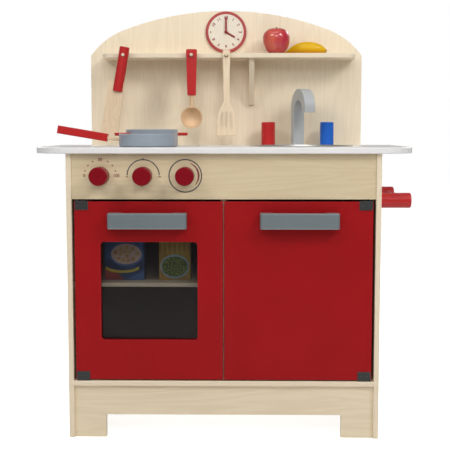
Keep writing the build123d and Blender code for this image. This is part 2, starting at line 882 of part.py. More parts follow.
# Hinge clips: a channel that grips each outer corner of a door, with a pin in its end cap
clip_front_y = door_front_y - clip_wall
clip_back_y = door_back_y + clip_wall
pin_top_end = panel_bottom + bush_length - bush_end_gap
pin_bottom_end = bottom_top - bush_length + bush_end_gap
for name, side in (("left", -1), ("right", 1)):
    with BuildPart() as clips:
        for cap_z, inward in ((door_top, -1), (door_bottom, 1)):
            with BuildSketch(yz(side * clip_mid_x - clip_width / 2)):
                with Locations((door_mid_y, cap_z + inward * (clip_height - clip_cap) / 2)):
                    Rectangle(clip_back_y - clip_front_y, clip_height + clip_cap)
                with Locations((door_mid_y, cap_z + inward * (clip_height + clip_cap) / 2)):
                    Rectangle(door_thickness, clip_height + clip_cap, mode=Mode.SUBTRACT)
            extrude(amount=clip_width)
        for start, end in (
            (door_top + clip_cap, pin_top_end),
            (door_bottom - clip_cap, pin_bottom_end),
        ):
            with BuildSketch(Plane.XY.offset(start)):
                with Locations((side * hinge_x, door_mid_y)):
                    Circle(pin_radius)
            extrude(amount=end - start)
    save(clips, f"{name}_hinge_clips")

# Magnetic catches on the divider and the strike plates that they hold
catch_front_y = door_back_y + strike_thickness + catch_gap
catch_z = door_top - catch_drop
with BuildPart() as door_catches:
    for side in (-1, 1):
        with BuildSketch(Plane.XY.offset(catch_z)):
            with Locations(
                (side * (ply + catch_width) / 2, catch_front_y + catch_length / 2)
            ):
                Rectangle(catch_width, catch_length)
        extrude(amount=catch_height)
    fillet(door_catches.faces().group_by(Axis.Y)[0].edges(), edge_round)
save(door_catches, "door_catches")

# Steel fittings on the back of each door: handle screws, a strike plate and the pane screws
strike_z = catch_z + catch_height / 2
for name, side in (("left", -1), ("right", 1)):
    handle_screw_places = [(side * x, handle_mid_z) for x in handle_screw_x]
    with BuildPart() as fittings:
        with BuildSketch(xz(door_back_y)):
            with Locations(*handle_screw_places):
                Circle(screw_head / 2)
        extrude(amount=-screw_head_height)
        fillet(fittings.faces().group_by(Axis.Y)[-1].edges(), screw_head_height / 2)
        with BuildSketch(xz(door_back_y)):
            with Locations(*handle_screw_places):
                Circle(screw_radius)
        extrude(amount=door_thickness + handle_bar)
        with BuildSketch(xz(door_back_y)):
            with Locations((side * (ply / 2 + strike_width / 2), strike_z)):
                Rectangle(strike_width, strike_height)
        extrude(amount=-strike_thickness)
        if side < 0:
            with BuildSketch(xz(door_back_y + pane_thickness)):
                with Locations(*pane_screw_places):
                    Circle(pane_screw_head / 2)
            extrude(amount=-pane_screw_head_height)
            with BuildSketch(xz(door_back_y + pane_thickness)):
                with Locations(*pane_screw_places):
                    Circle(pane_screw_diameter / 2)
            extrude(amount=pane_thickness + pane_screw_depth)
    save(fittings, f"{name}_door_fittings")

# Knobs: round wooden knobs on a screw that comes through the panel from behind
knob_back_y = panel_front_y - knob_gap
knob_front_y = knob_back_y - knob_length
knob_screw_depth = knob_length / 2
washer_y = panel_back_y + washer_gap
for name, x in zip(("left", "middle", "right"), knob_x):
    with BuildPart() as knob:
        with BuildSketch(xz(knob_back_y)):
            with Locations((x, knob_height)):
                Circle(knob_diameter / 2)
        extrude(amount=knob_length)
        fillet(knob.faces().sort_by(Axis.Y)[0].edges(), knob_edge_round)
        fillet(knob.faces().sort_by(Axis.Y)[-1].edges(), edge_round)
        with BuildSketch(xz(knob_back_y)):
            with Locations((x, knob_height)):
                Circle(screw_radius)
        extrude(amount=knob_screw_depth, mode=Mode.SUBTRACT)
    save(knob, f"{name}_knob")
    with BuildPart() as knob_screw:
        with BuildSketch(xz(washer_y)):
            with Locations((x, knob_height)):
                Circle(washer_diameter / 2)
        extrude(amount=-washer_thickness)
        with BuildSketch(xz(washer_y + washer_thickness)):
            with Locations((x, knob_height)):
                Circle(screw_head / 2)
        extrude(amount=-screw_head_height)
        fillet(knob_screw.faces().sort_by(Axis.Y)[-1].edges(), screw_head_height / 2)
        with BuildSketch(xz(washer_y)):
            with Locations((x, knob_height)):
                Circle(screw_radius)
        extrude(amount=washer_y - knob_back_y + knob_screw_depth)
    save(knob_screw, f"{name}_knob_screw")

# Towel rail on the right side: two posts and a bar
rail_bar_x = half_width + rail_post_length - rail_bar_setback
rail_bar_start = rail_screw_places[0][0] + rail_post_diameter / 2 - rail_socket_depth
rail_bar_end = rail_screw_places[1][0] - rail_post_diameter / 2 + rail_socket_depth
rail_screw_length = rail_post_length / 2
with BuildPart() as rail_posts:
    with BuildSketch(yz(half_width)):
        with Locations(*rail_screw_places):
            Circle(rail_post_diameter / 2)
    extrude(amount=rail_post_length)
    fillet(rail_posts.faces().group_by(Axis.X)[-1].edges(), rail_post_round)
    with BuildSketch(yz(half_width)):
        with Locations(*rail_screw_places):
            Circle(screw_radius)
    extrude(amount=rail_screw_length, mode=Mode.SUBTRACT)
    with BuildSketch(xz_back(rail_bar_start)):
        with Locations((-rail_bar_x, rail_height)):
            Circle(rail_bar_diameter / 2)
    extrude(amount=rail_bar_end - rail_bar_start, mode=Mode.SUBTRACT)
save(rail_posts, "rail_posts")

with BuildPart() as rail_bar:
    with BuildSketch(xz_back(rail_bar_start)):
        with Locations((-rail_bar_x, rail_height)):
            Circle(rail_bar_diameter / 2)
    extrude(amount=rail_bar_end - rail_bar_start)
save(rail_bar, "rail_bar")

# The cabinet's screws: countersunk ones in the side panels, those driven through the backboard from
# behind, and those that come through the right side into the rail posts
with BuildPart() as cabinet_screws:
    with BuildSketch(yz(inner_half)):
        with Locations(*rail_screw_places):
            Circle(screw_head / 2)
    extrude(amount=-screw_head_height)
    fillet(cabinet_screws.faces().group_by(Axis.X)[0].edges(), screw_head_height / 2)
    with BuildSketch(yz(inner_half)):
        with Locations(*rail_screw_places):
            Circle(screw_radius)
    extrude(amount=ply + rail_screw_length)
    for side in (-1, 1):
        with BuildSketch(yz(side * half_width)):
            with Locations(*side_screw_places):
                Circle(side_screw_head / 2)
        extrude(amount=-side * side_screw_head_depth, taper=45)
        with BuildSketch(yz(side * half_width)):
            with Locations(*side_screw_places):
                Circle(side_screw_radius)
        extrude(amount=-side * screw_length)
    with BuildSketch(xz(back + ply)):
        with Locations(*shelf_screw_places):
            Circle(side_screw_radius)
    extrude(amount=screw_length)
    with BuildSketch(xz(back + ply)):
        with Locations(*bracket_screw_places):
            Circle(side_screw_radius)
    extrude(amount=ply + back_screw_depth / 2)
    with BuildSketch(xz(back + ply)):
        with Locations(*backboard_screw_places):
            Circle(side_screw_radius)
    extrude(amount=ply)
save(cabinet_screws, "cabinet_screws")

# Sink bowl: a spun bowl that hangs by its rim in the worktop
bowl_radius = sink_opening / 2 - sink_clearance
bowl_bottom = worktop_top - sink_depth
sink_plane = Plane(origin=(sink_x, front + sink_y, 0), x_dir=(1, 0, 0), z_dir=(0, -1, 0))
with BuildPart() as sink_bowl:
    with BuildSketch(sink_plane) as bowl_section:
        with BuildLine():
            bowl_wall_line = Polyline(
                (0, bowl_bottom),
                (sink_floor / 2, bowl_bottom),
                (bowl_radius, worktop_top),
                (sink_rim / 2, worktop_top),
                (sink_rim / 2, worktop_top + sink_rim_thickness),
                (bowl_radius - sink_wall, worktop_top + sink_rim_thickness),
                (sink_floor / 2 - sink_wall, bowl_bottom + sink_wall),
                (0, bowl_bottom + sink_wall),
                close=True,
            )
        make_face()
        floor_bends = bowl_section.vertices().filter_by(
            lambda corner: abs(corner.X - sink_x - sink_floor / 2) < 2 * sink_wall
            and corner.Z < worktop_top - sink_wall
        )
        fillet(floor_bends, sink_floor_round)
    revolve(axis=Axis((sink_x, front + sink_y, 0), (0, 0, 1)))
    with BuildSketch(Plane.XY.offset(bowl_bottom + sink_wall)):
        with Locations(sink_place):
            Circle(sink_drain / 2)
    extrude(amount=-sink_drain_step, mode=Mode.SUBTRACT)
save(sink_bowl, "sink_bowl")

# Tap: a hook sawn from a thick board, which swivels on a spigot through the worktop
tap_direction = (sin(radians(tap_turn)), -cos(radians(tap_turn)), 0)
tap_side = (cos(radians(tap_turn)), sin(radians(tap_turn)), 0)
tap_plane = Plane(
    origin=(tap_place[0], tap_place[1], worktop_top + valve_gap),
    x_dir=tap_direction,
    z_dir=(-tap_side[0], -tap_side[1], 0),
)
tap_left = -tap_leg / 2
tap_right = tap_left + tap_reach
tap_middle = (tap_left + tap_right) / 2
tap_spring = tap_height - tap_crown
tap_arch_radius = tap_reach / 2 - tap_leg
tap_arch_spring = tap_arch_top - tap_arch_radius
with BuildPart() as tap:
    with BuildSketch(tap_plane) as tap_outline:
        with Locations((tap_middle, tap_spring / 2)):
            Rectangle(tap_reach, tap_spring)
        with Locations((tap_middle, tap_spring)):
            Ellipse(tap_reach / 2, tap_crown)
        with Locations((tap_middle, tap_arch_spring)):
            Circle(tap_arch_radius, mode=Mode.SUBTRACT)
        with Locations((tap_middle, tap_arch_spring / 2)):
            Rectangle(2 * tap_arch_radius, tap_arch_spring, mode=Mode.SUBTRACT)
        with Locations((tap_right - tap_leg / 2, tap_spout_height / 2)):
            Rectangle(tap_leg, tap_spout_height, mode=Mode.SUBTRACT)
    extrude(amount=tap_thickness / 2, both=True)
    tap_flats = tap.faces().filter_by(tap_plane)
    tap_rims = tap_flats.edges().filter_by(lambda edge: edge.center().Z > worktop_top + tap_leg)
    fillet(tap_rims, tap_edge_round)
    with BuildSketch(Plane.XY.offset(worktop_top + valve_gap)):
        with Locations(tap_place):
            Circle(tap_spigot / 2)
    extrude(amount=-(valve_gap + worktop_thickness + washer_gap))
save(tap, "tap")

# The washer and screw that hold the tap and each valve below the worktop
spigot_end_z = side_height - washer_gap
with BuildPart() as tap_screw:
    with BuildSketch(Plane.XY.offset(spigot_end_z)):
        with Locations(tap_place):
            Circle(tap_spigot)
    extrude(amount=-washer_thickness)
    with BuildSketch(Plane.XY.offset(spigot_end_z - washer_thickness)):
        with Locations(tap_place):
            Circle(screw_head / 2)
    extrude(amount=-screw_head_height)
    fillet(tap_screw.faces().sort_by(Axis.Z)[0].edges(), screw_head_height / 2)
save(tap_screw, "tap_screw")

valve_screw_depth = valve_height / 2
for name, place in (("hot", hot_place), ("cold", cold_place)):
    with BuildPart() as valve:
        with BuildSketch(Plane.XY.offset(worktop_top + valve_gap)):
            with Locations(place):
                Circle(valve_diameter / 2)
        extrude(amount=valve_height)
        fillet(valve.edges().filter_by(GeomType.CIRCLE), valve_round)
        with BuildSketch(Plane.XY.offset(worktop_top + valve_gap)):
            with Locations(place):
                Circle(screw_radius)
        extrude(amount=valve_screw_depth, mode=Mode.SUBTRACT)
    save(valve, f"{name}_valve")
    with BuildPart() as valve_screw:
        with BuildSketch(Plane.XY.offset(spigot_end_z)):
            with Locations(place):
                Circle(washer_diameter / 2)
        extrude(amount=-washer_thickness)
        with BuildSketch(Plane.XY.offset(spigot_end_z - washer_thickness)):
            with Locations(place):
                Circle(screw_head / 2)
        extrude(amount=-screw_head_height)
        fillet(valve_screw.faces().sort_by(Axis.Z)[0].edges(), screw_head_height / 2)
        with BuildSketch(Plane.XY.offset(spigot_end_z)):
            with Locations(place):
                Circle(screw_radius)
        extrude(amount=washer_gap + worktop_thickness + valve_gap + valve_screw_depth)
    save(valve_screw, f"{name}_valve_screw")

# Pan: a turned pan with a flat neck and a square grip that rises away from it
vessel_z = worktop_top + seat_gap
pan_axis_z = vessel_z + pan_neck_start
pan_neck_x = pan_x - pan_diameter / 2 + vessel_wall
neck_direction = (-cos(radians(pan_handle_rise)), 0, sin(radians(pan_handle_rise)))
neck_plane = Plane(
    origin=(pan_neck_x, front + pan_y, pan_axis_z), x_dir=(0, 1, 0), z_dir=neck_direction
)
with BuildPart() as pan_neck:
    with BuildSketch(neck_plane):
        RectangleRounded(pan_neck_width, pan_neck_thickness, edge_round)
    extrude(amount=pan_grip_start + pan_neck_tenon)
save(pan_neck, "pan_neck")

with BuildPart() as pan_body:
    with BuildSketch(Plane.XY.offset(vessel_z)):
        with Locations(pan_place):
            Circle(pan_diameter / 2)
    extrude(amount=pan_height)
    fillet(pan_body.faces().sort_by(Axis.Z)[0].edges(), vessel_foot_round)
    with BuildSketch(Plane.XY.offset(vessel_z + vessel_floor)):
        with Locations(pan_place):
            Circle(pan_diameter / 2 - vessel_wall)
    extrude(amount=pan_height, mode=Mode.SUBTRACT)
    pan_rim = pan_body.faces().sort_by(Axis.Z)[-1].edges()
    fillet(pan_rim, edge_round)
    add(pan_neck.part, mode=Mode.SUBTRACT)
save(pan_body, "pan_body")

grip_plane = neck_plane.offset(pan_grip_start)
with BuildPart() as pan_grip:
    with BuildSketch(grip_plane):
        RectangleRounded(pan_grip_size, pan_grip_size, pan_grip_round)
    extrude(amount=pan_grip_length)
    add(pan_neck.part, mode=Mode.SUBTRACT)
save(pan_grip, "pan_grip")

# Pot: a turned pot with two dowel handles in line
pot_handle_z = vessel_z + pot_handle_height
handle_root = pot_diameter / 2 - vessel_wall
pot_turn = radians(pot_handle_turn)
with BuildPart() as pot_handles:
    for side in (-1, 1):
        handle_plane = Plane(
            origin=(
                pot_x + side * cos(pot_turn) * handle_root,
                front + pot_y + side * sin(pot_turn) * handle_root,
                pot_handle_z,
            ),
            x_dir=(0, 0, 1),
            z_dir=(side * cos(pot_turn), side * sin(pot_turn), 0),
        )
        with BuildSketch(handle_plane):
            Circle(pot_handle_diameter / 2)
        extrude(amount=vessel_wall + pot_handle_reach)
save(pot_handles, "pot_handles")

with BuildPart() as pot_body:
    with BuildSketch(Plane.XY.offset(vessel_z)):
        with Locations(pot_place):
            Circle(pot_diameter / 2)
    extrude(amount=pot_height)
    fillet(pot_body.faces().sort_by(Axis.Z)[0].edges(), vessel_foot_round)
    with BuildSketch(Plane.XY.offset(vessel_z + vessel_floor)):
        with Locations(pot_place):
            Circle(pot_diameter / 2 - vessel_wall)
    extrude(amount=pot_height, mode=Mode.SUBTRACT)
    pot_rim = pot_body.faces().sort_by(Axis.Z)[-1].edges()
    fillet(pot_rim, edge_round)
    add(pot_handles.part, mode=Mode.SUBTRACT)
save(pot_body, "pot_body")

# Utensils that hang on the pegs: each hole sits a little low, as it does when it hangs
hang_drop = (utensil_hole - peg_diameter) / 2 - hang_gap
hole_z = peg_z - hang_drop
cleaver_y = upper_shelf_front - utensil_gap - cleaver_handle_diameter / 2
tilt = radians(cleaver_tilt)
cleaver_plane = Plane(
    origin=(peg_x[0], cleaver_y, hole_z), x_dir=(cos(tilt), 0, -sin(tilt)), z_dir=(0, -1, 0)
)
with BuildPart() as cleaver_blade:
    with BuildSketch(cleaver_plane.offset(-cleaver_blade_thickness / 2)):
        with BuildLine():
            Polyline(
                (-cleaver_blade_left, -cleaver_blade_top),
                (cleaver_blade_right_top, -cleaver_blade_top),
                (cleaver_blade_right_bottom, -cleaver_blade_bottom - cleaver_blade_slant),
                (-cleaver_blade_left, -cleaver_blade_bottom),
                close=True,
            )
        make_face()
    extrude(amount=cleaver_blade_thickness)
    fillet(cleaver_blade.edges().filter_by(Axis.Y), cleaver_round)
save(cleaver_blade, "cleaver_blade")

cleaver_axis_plane = Plane(
    origin=cleaver_plane.from_local_coords((0, cleaver_handle_top, 0)),
    x_dir=cleaver_plane.x_dir,
    z_dir=-cleaver_plane.y_dir,
)
with BuildPart() as cleaver_handle:
    with BuildSketch(cleaver_axis_plane):
        Circle(cleaver_handle_diameter / 2)
    extrude(amount=cleaver_handle_length)
    fillet(cleaver_handle.edges().filter_by(GeomType.CIRCLE), cleaver_round)
    with BuildSketch(cleaver_plane.offset(-cleaver_handle_diameter)):
        Circle(utensil_hole / 2)
    extrude(amount=2 * cleaver_handle_diameter, mode=Mode.SUBTRACT)
    add(cleaver_blade.part, mode=Mode.SUBTRACT)
save(cleaver_handle, "cleaver_handle")

# Ladle: flat tapered handle, dowel neck and a round bowl that opens to the front
ladle_y = upper_shelf_front - utensil_gap - ladle_handle_thickness / 2
ladle_top_z = hole_z + ladle_handle_top
ladle_bottom_z = ladle_top_z - ladle_handle_length
ladle_bowl_z = hole_z - ladle_bowl_drop
ladle_rim_y = ladle_y - ladle_neck_diameter / 2
ladle_neck_end = ladle_bowl_z + ladle_bowl_radius - 2 * ladle_bowl_wall
bowl_plane = Plane(origin=(peg_x[1], ladle_rim_y, ladle_bowl_z), x_dir=(0, 1, 0), z_dir=(1, 0, 0))
bowl_axis = Axis((peg_x[1], ladle_rim_y, ladle_bowl_z), (0, 1, 0))


def dish_arc_middle(radius, depth):
    """The middle point of the arc from a dish's rim, (0, radius), to its deepest point."""
    arc_radius = (radius**2 + depth**2) / (2 * depth)
    center = depth - arc_radius
    half_turn = atan2(radius, -center) / 2
    return (center + arc_radius * cos(half_turn), arc_radius * sin(half_turn))


inner_bowl_radius = ladle_bowl_radius - ladle_bowl_wall
inner_bowl_depth = ladle_bowl_depth - ladle_bowl_wall
with BuildPart() as ladle_bowl:
    with BuildSketch(bowl_plane):
        with BuildLine():
            Line((0, 0), (0, ladle_bowl_radius))
            ThreePointArc(
                (0, ladle_bowl_radius),
                dish_arc_middle(ladle_bowl_radius, ladle_bowl_depth),
                (ladle_bowl_depth, 0),
            )
            Line((ladle_bowl_depth, 0), (0, 0))
        make_face()
    revolve(axis=bowl_axis)
    with BuildSketch(Plane.XY.offset(ladle_bottom_z + ladle_tenon)):
        with Locations((peg_x[1], ladle_y)):
            Circle(ladle_neck_diameter / 2)
    extrude(amount=ladle_neck_end - ladle_bottom_z - ladle_tenon)
    with BuildSketch(bowl_plane):
        with BuildLine():
            Line((0, 0), (0, inner_bowl_radius))
            ThreePointArc(
                (0, inner_bowl_radius),
                dish_arc_middle(inner_bowl_radius, inner_bowl_depth),
                (inner_bowl_depth, 0),
            )
            Line((inner_bowl_depth, 0), (0, 0))
        make_face()
    revolve(axis=bowl_axis, mode=Mode.SUBTRACT)
save(ladle_bowl, "ladle_bowl")

with BuildPart() as ladle_handle:
    with BuildSketch(xz(ladle_y + ladle_handle_thickness / 2)) as ladle_outline:
        with BuildLine():
            Polyline(
                (peg_x[1] - ladle_handle_top_width / 2, ladle_top_z),
                (peg_x[1] + ladle_handle_top_width / 2, ladle_top_z),
                (peg_x[1] + ladle_handle_bottom_width / 2, ladle_bottom_z),
                (peg_x[1] - ladle_handle_bottom_width / 2, ladle_bottom_z),
                close=True,
            )
        make_face()
        fillet(ladle_outline.vertices(), ladle_corner_round)
        with Locations((peg_x[1], hole_z)):
            Circle(utensil_hole / 2, mode=Mode.SUBTRACT)
    extrude(amount=ladle_handle_thickness)
    fillet(ladle_handle.faces().sort_by(Axis.Y)[0].outer_wire().edges(), edge_round)
    add(ladle_bowl.part, mode=Mode.SUBTRACT)
save(ladle_handle, "ladle_handle")

# Spatula: one flat piece with three slots in its blade
spatula_x = peg_x[2]
spatula_back_y = upper_shelf_front - utensil_gap
spatula_z = hole_z + spatula_top
with BuildPart() as spatula:
    with BuildSketch(xz(spatula_back_y)) as spatula_outline:
        with BuildLine():
            Polyline(
                (spatula_x - spatula_handle_top_width / 2, spatula_z),
                (spatula_x + spatula_handle_top_width / 2, spatula_z),
                (spatula_x + spatula_handle_bottom_width / 2, hole_z - spatula_flare_top),
                (spatula_x + spatula_blade_top_width / 2, hole_z - spatula_flare_bottom),
                (spatula_x + spatula_blade_bottom_width / 2, spatula_z - spatula_length),
                (spatula_x - spatula_blade_bottom_width / 2, spatula_z - spatula_length),
                (spatula_x - spatula_blade_top_width / 2, hole_z - spatula_flare_bottom),
                (spatula_x - spatula_handle_bottom_width / 2, hole_z - spatula_flare_top),
                close=True,
            )
        make_face()
        fillet(spatula_outline.vertices(), spatula_round)
        with Locations((spatula_x, hole_z)):
            Circle(utensil_hole / 2, mode=Mode.SUBTRACT)
        with Locations((spatula_x, hole_z - spatula_slot_drop - spatula_slot_length / 2)):
            with GridLocations(spatula_slot_pitch, 0, 3, 1):
                SlotOverall(spatula_slot_length, spatula_slot_width, rotation=90, mode=Mode.SUBTRACT)
    extrude(amount=spatula_thickness)
    fillet(spatula.faces().sort_by(Axis.Y)[0].outer_wire().edges(), edge_round)
save(spatula, "spatula")

# Apple: turned round its own axis, with a dimple that the stem stands in
fruit_z = upper_shelf_top + fruit_rest_gap
apple_y = upper_shelf_front + apple_setback
apple_radius = apple_diameter / 2
apple_plane = Plane(origin=(apple_x, apple_y, fruit_z), x_dir=(1, 0, 0), z_dir=(0, -1, 0))
with BuildPart() as apple:
    with BuildSketch(apple_plane):
        with BuildLine():
            Line((0, 0), (apple_flat, 0))
            Spline(
                (apple_flat, 0),
                *[(apple_radius * across, apple_height * up) for across, up in apple_profile],
                (0, apple_height - apple_dimple_depth),
                tangents=(apple_foot_tangent, apple_dimple_tangent),
            )
            Line((0, apple_height - apple_dimple_depth), (0, 0))
        make_face()
    revolve(axis=Axis(apple_plane.origin, (0, 0, 1)))
    with BuildSketch(Plane.XY.offset(fruit_z + apple_height - 2 * apple_dimple_depth)):
        with Locations((apple_x, apple_y)):
            Circle(apple_stem_diameter / 2)
    extrude(amount=2 * apple_dimple_depth + apple_stem_rise)
save(apple, "apple")

# Banana: round sections lofted along a bowed axis
banana_turn = banana_length / banana_bow_radius
bow_center_z = fruit_z + banana_axis_lift - banana_bow_radius
banana_mid_x = banana_left + banana_length / 2
banana_y = upper_shelf_front + banana_setback
with BuildPart() as banana:
    for station, share in zip(banana_stations, banana_sections):
        turn = (station - banana_top_share) * banana_turn
        section_plane = Plane(
            origin=(
                banana_mid_x + banana_bow_radius * sin(turn),
                banana_y,
                bow_center_z + banana_bow_radius * cos(turn),
            ),
            x_dir=(0, 1, 0),
            z_dir=(cos(turn), 0, -sin(turn)),
        )
        with BuildSketch(section_plane):
            Circle(banana_radius * share)
    loft()
    with BuildSketch(Plane.XY.offset(fruit_z)):
        with Locations((banana_mid_x, banana_y)):
            Rectangle(banana_length * 2, banana_radius * 4)
    extrude(amount=-banana_radius, mode=Mode.SUBTRACT)
save(banana, "banana")

# Food cartons on the oven shelf
for node, x, width, height, depth in zip(
    ("left_carton", "right_carton"), carton_x, carton_width, carton_height, carton_depth
):
    with BuildPart() as carton:
        with BuildSketch(Plane.XY.offset(oven_shelf_top + seat_gap)):
            with Locations((x, front + carton_setback + depth / 2)):
                Rectangle(width, depth)
        extrude(amount=height)
        fillet(carton.edges(), carton_round)
    save(carton, node)
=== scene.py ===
"""Looks of the wooden play kitchen: board and paint finishes, printed scales, screws, cartons, light, camera.

Metres. +Z is up, +X is to the right as seen from the front, and the front faces -Y.
"""

import math

import bmesh
import bpy
from mathutils import Matrix, Vector


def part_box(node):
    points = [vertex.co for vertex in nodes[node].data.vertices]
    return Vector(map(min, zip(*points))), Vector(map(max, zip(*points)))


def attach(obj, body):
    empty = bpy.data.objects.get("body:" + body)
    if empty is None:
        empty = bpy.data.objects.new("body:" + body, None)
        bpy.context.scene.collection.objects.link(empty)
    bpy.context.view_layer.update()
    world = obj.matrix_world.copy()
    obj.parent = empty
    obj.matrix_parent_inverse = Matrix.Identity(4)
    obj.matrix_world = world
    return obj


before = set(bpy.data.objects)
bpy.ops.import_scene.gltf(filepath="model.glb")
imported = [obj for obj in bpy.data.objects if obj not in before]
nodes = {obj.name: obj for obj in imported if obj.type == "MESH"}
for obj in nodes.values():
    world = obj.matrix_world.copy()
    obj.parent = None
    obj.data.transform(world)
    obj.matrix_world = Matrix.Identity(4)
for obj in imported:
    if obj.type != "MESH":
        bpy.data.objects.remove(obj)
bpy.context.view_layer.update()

# Camera: fitted to the photograph's view of the cabinet's edges
LENS = 78.64
SENSOR = 36.0
CAMERA_PLACE = (0.03165, -2.02165, 0.5944)
CAMERA_PITCH = math.radians(5.45)
CAMERA_YAW = 0.0154

# Light: what the white room gives the object, the floor's glow towards the camera and its reach, and the
# lamps, each with its place, aim, size and power
ROOM_LIGHT = 0.20
FLOOR_GLOW = 0.85
FLOOR_REACH = 9.0
LAMPS = {
    "left_box": ((-1.25, -1.35, 1.80), (-0.05, 0.0, 0.60), (0.60, 0.60), 12),
    "right_box": ((1.25, -1.35, 1.80), (0.05, 0.0, 0.60), (0.60, 0.60), 17),
    "top_box": ((0.0, -0.75, 2.35), (0.0, 0.0, 0.60), (1.2, 0.5), 8),
    "front_fill": ((0.10, -2.10, 1.45), (0.0, 0.15, 0.72), (0.9, 0.5), 9),
    "rear_left_fill": ((-1.30, 1.90, 1.60), (0.0, 0.10, 0.45), (1.0, 1.0), 21),
    "rear_right_fill": ((1.50, 1.70, 1.60), (0.0, 0.10, 0.45), (1.0, 1.0), 21),
}

# Prints: the height of ink and of a layer on a carton, the step along an arc, a font's size for a digit's
# height, and the height of a carton's top flap
INK = 0.00012
LAYER = 0.00008
ARC_STEP = math.radians(3)
FONT_PER_DIGIT = 1.4
FLAP_HEIGHT = 0.0003

# Relief of the finishes
RELIEF = 0.0002
FINE_RELIEF = 0.0001
INK_RELIEF = 0.00005

# Knob scales
SCALE_RADIUS = 0.0305
SCALE_LINE = 0.0021
SCALE_DOT_RADIUS = 0.0015
SCALE_DOT_STEP = math.radians(22)
SCALE_NUMBER_HEIGHT = 0.0058
SCALE_NUMBER_BOLD = 0.00022
CIRCLE_LINE = 0.0023
SWELL_RADIUS = 0.0255
SWELL_WIDTH = 0.0036
SWELL_TIP = 0.0012

# Clock
NUMERAL_HEIGHT = 0.0072
NUMERAL_CIRCLE = 0.0312
NUMERAL_BOLD = 0.00026
MINUTE_CIRCLE = 0.0368
MINUTE_DOT_RADIUS = 0.00035
CLOCK_RIM_INNER = 0.0388
RIM_BLUR = 0.0002

# Hob
HOB_RINGS = {"outer": 0.0565, "inner": 0.030}
HOB_LINE = 0.0016
HOB_FRAME = (0.196, 0.262)
HOB_CORNER = 0.020

# Sink drain: how many holes each ring has, and its radius, with the holes' and the rim's sizes
DRAIN_RINGS = ((1, 0.0), (6, 0.0045), (12, 0.0090))
DRAIN_HOLE_RADIUS = 0.0012
DRAIN_RIM_RADIUS = 0.0136
DRAIN_RIM_WIDTH = 0.0014
DRAIN_RIM_HEIGHT = 0.0004

# Screws: the least length of each kind tells it from the shorter ones
FLUSH = 0.00003
REAR_HEAD_RADIUS = 0.0036
RAIL_SCREW_LENGTH = 0.035
RAIL_SCREW_HEAD = 0.0024
HANDLE_SCREW_LENGTH = 0.012
PANE_SCREW_LENGTH = 0.004
PANE_CROSS_LENGTH = 0.0034
PANE_CROSS_WIDTH = 0.0007

# Dimples on the hinge clips
DIMPLE_INSET = 0.008
DIMPLE_OFFSET = 0.0065
DIMPLE_RADIUS = 0.0013
DIMPLE_HEIGHT = 0.0003

# Apple stem
STEM_RADIUS = 0.0018
STEM_BLUR = 0.0006
STEM_SHOWING = 0.0085

# Corners of a mesh nearer than this are one
WELD = 1e-6

# Boards: their usual thickness and number of plies
PLY = 0.010
PLIES = 7

# Which way each board lies: its thickness axis, its grain axis and how much its veneer is darkened and
# warmed, partly the board's own tone and partly painted shade on boards that stand in shade, most of all the
# control panel below the worktop
BOARDS = {
    "left_side": ("X", "Z", 0.30),
    "right_side": ("X", "Z", 0.33),
    "bottom_board": ("Z", "X", 0.24),
    "skirt": ("Y", "X", 0.42),
    "center_divider": ("X", "Z", 0.30),
    "oven_shelf": ("Z", "X", 0.33),
    "corner_blocks": ("Z", "X", 0.50),
    "control_panel": ("Y", "X", 1.0),
    "backboard": ("Y", "Z", 0.08),
    "upper_shelf": ("Z", "X", 0.05),
    "shelf_bracket": ("X", "Z", 0.0),
}
AXES = {"X": Vector((1, 0, 0)), "Y": Vector((0, 1, 0)), "Z": Vector((0, 0, 1))}

# Colours, as linear values
PALE_VENEER = (0.905, 0.785, 0.600, 1)
# The darker, warmer veneer: the boards' own warmer tone, and the painted shade that darkens boards in shade
WARM_VENEER_AND_SHADE = (0.650, 0.535, 0.345, 1)
EDGE_VENEER = (0.830, 0.720, 0.545, 1)
VENEER_LINE = (0.500, 0.365, 0.205, 1)
END_PLY = (0.560, 0.400, 0.230, 1)
GLUE_LINE = (0.300, 0.190, 0.100, 1)
DOOR_RED = (0.345, 0.0050, 0.0070, 1)
KNOB_RED = (0.215, 0.0010, 0.0070, 1)
BRIGHT_RED = (0.520, 0.0190, 0.0190, 1)
HAND_RED = (0.300, 0.0220, 0.0230, 1)
BLUE = (0.0120, 0.1300, 0.5900, 1)
HANDLE_GREY = (0.158, 0.188, 0.198, 1)
TAP_GREY = (0.470, 0.490, 0.490, 1)
VESSEL_GREY = (0.325, 0.370, 0.425, 1)
INK_DARK = (0.030, 0.022, 0.024, 1)
INK_RED = (0.190, 0.0140, 0.0180, 1)


# Node building
def add_node(tree, kind, **settings):
    """A new node with its settings."""
    node = tree.nodes.new(kind)
    for name, value in settings.items():
        setattr(node, name, value)
    return node


def feed(tree, target, source):
    """Link an output to an input, or set the input's value."""
    if isinstance(source, bpy.types.NodeSocket):
        tree.links.new(source, target)
    else:
        target.default_value = source


def calc(tree, operation, first, second=None):
    """The output of a math node."""
    node = add_node(tree, "ShaderNodeMath", operation=operation)
    feed(tree, node.inputs[0], first)
    if second is not None:
        feed(tree, node.inputs[1], second)
    return node.outputs[0]


def times(tree, first, second):
    """A product."""
    return calc(tree, "MULTIPLY", first, second)


def plus(tree, first, second):
    """A sum."""
    return calc(tree, "ADD", first, second)


def minus(tree, first, second):
    """A difference."""
    return calc(tree, "SUBTRACT", first, second)


def spread(tree, value, low, high, to_low=0.0, to_high=1.0):
    """A value from one range brought smoothly to another."""
    node = add_node(tree, "ShaderNodeMapRange", interpolation_type="SMOOTHSTEP")
    for socket, part in zip(node.inputs, (value, low, high, to_low, to_high)):
        feed(tree, socket, part)
    return node.outputs[0]


def blend_colours(tree, share, first, second):
    """Two colours mixed by a share from 0 to 1."""
    node = add_node(tree, "ShaderNodeMix", data_type="RGBA")
    feed(tree, node.inputs[0], share)
    feed(tree, node.inputs[6], first)
    feed(tree, node.inputs[7], second)
    return node.outputs[2]


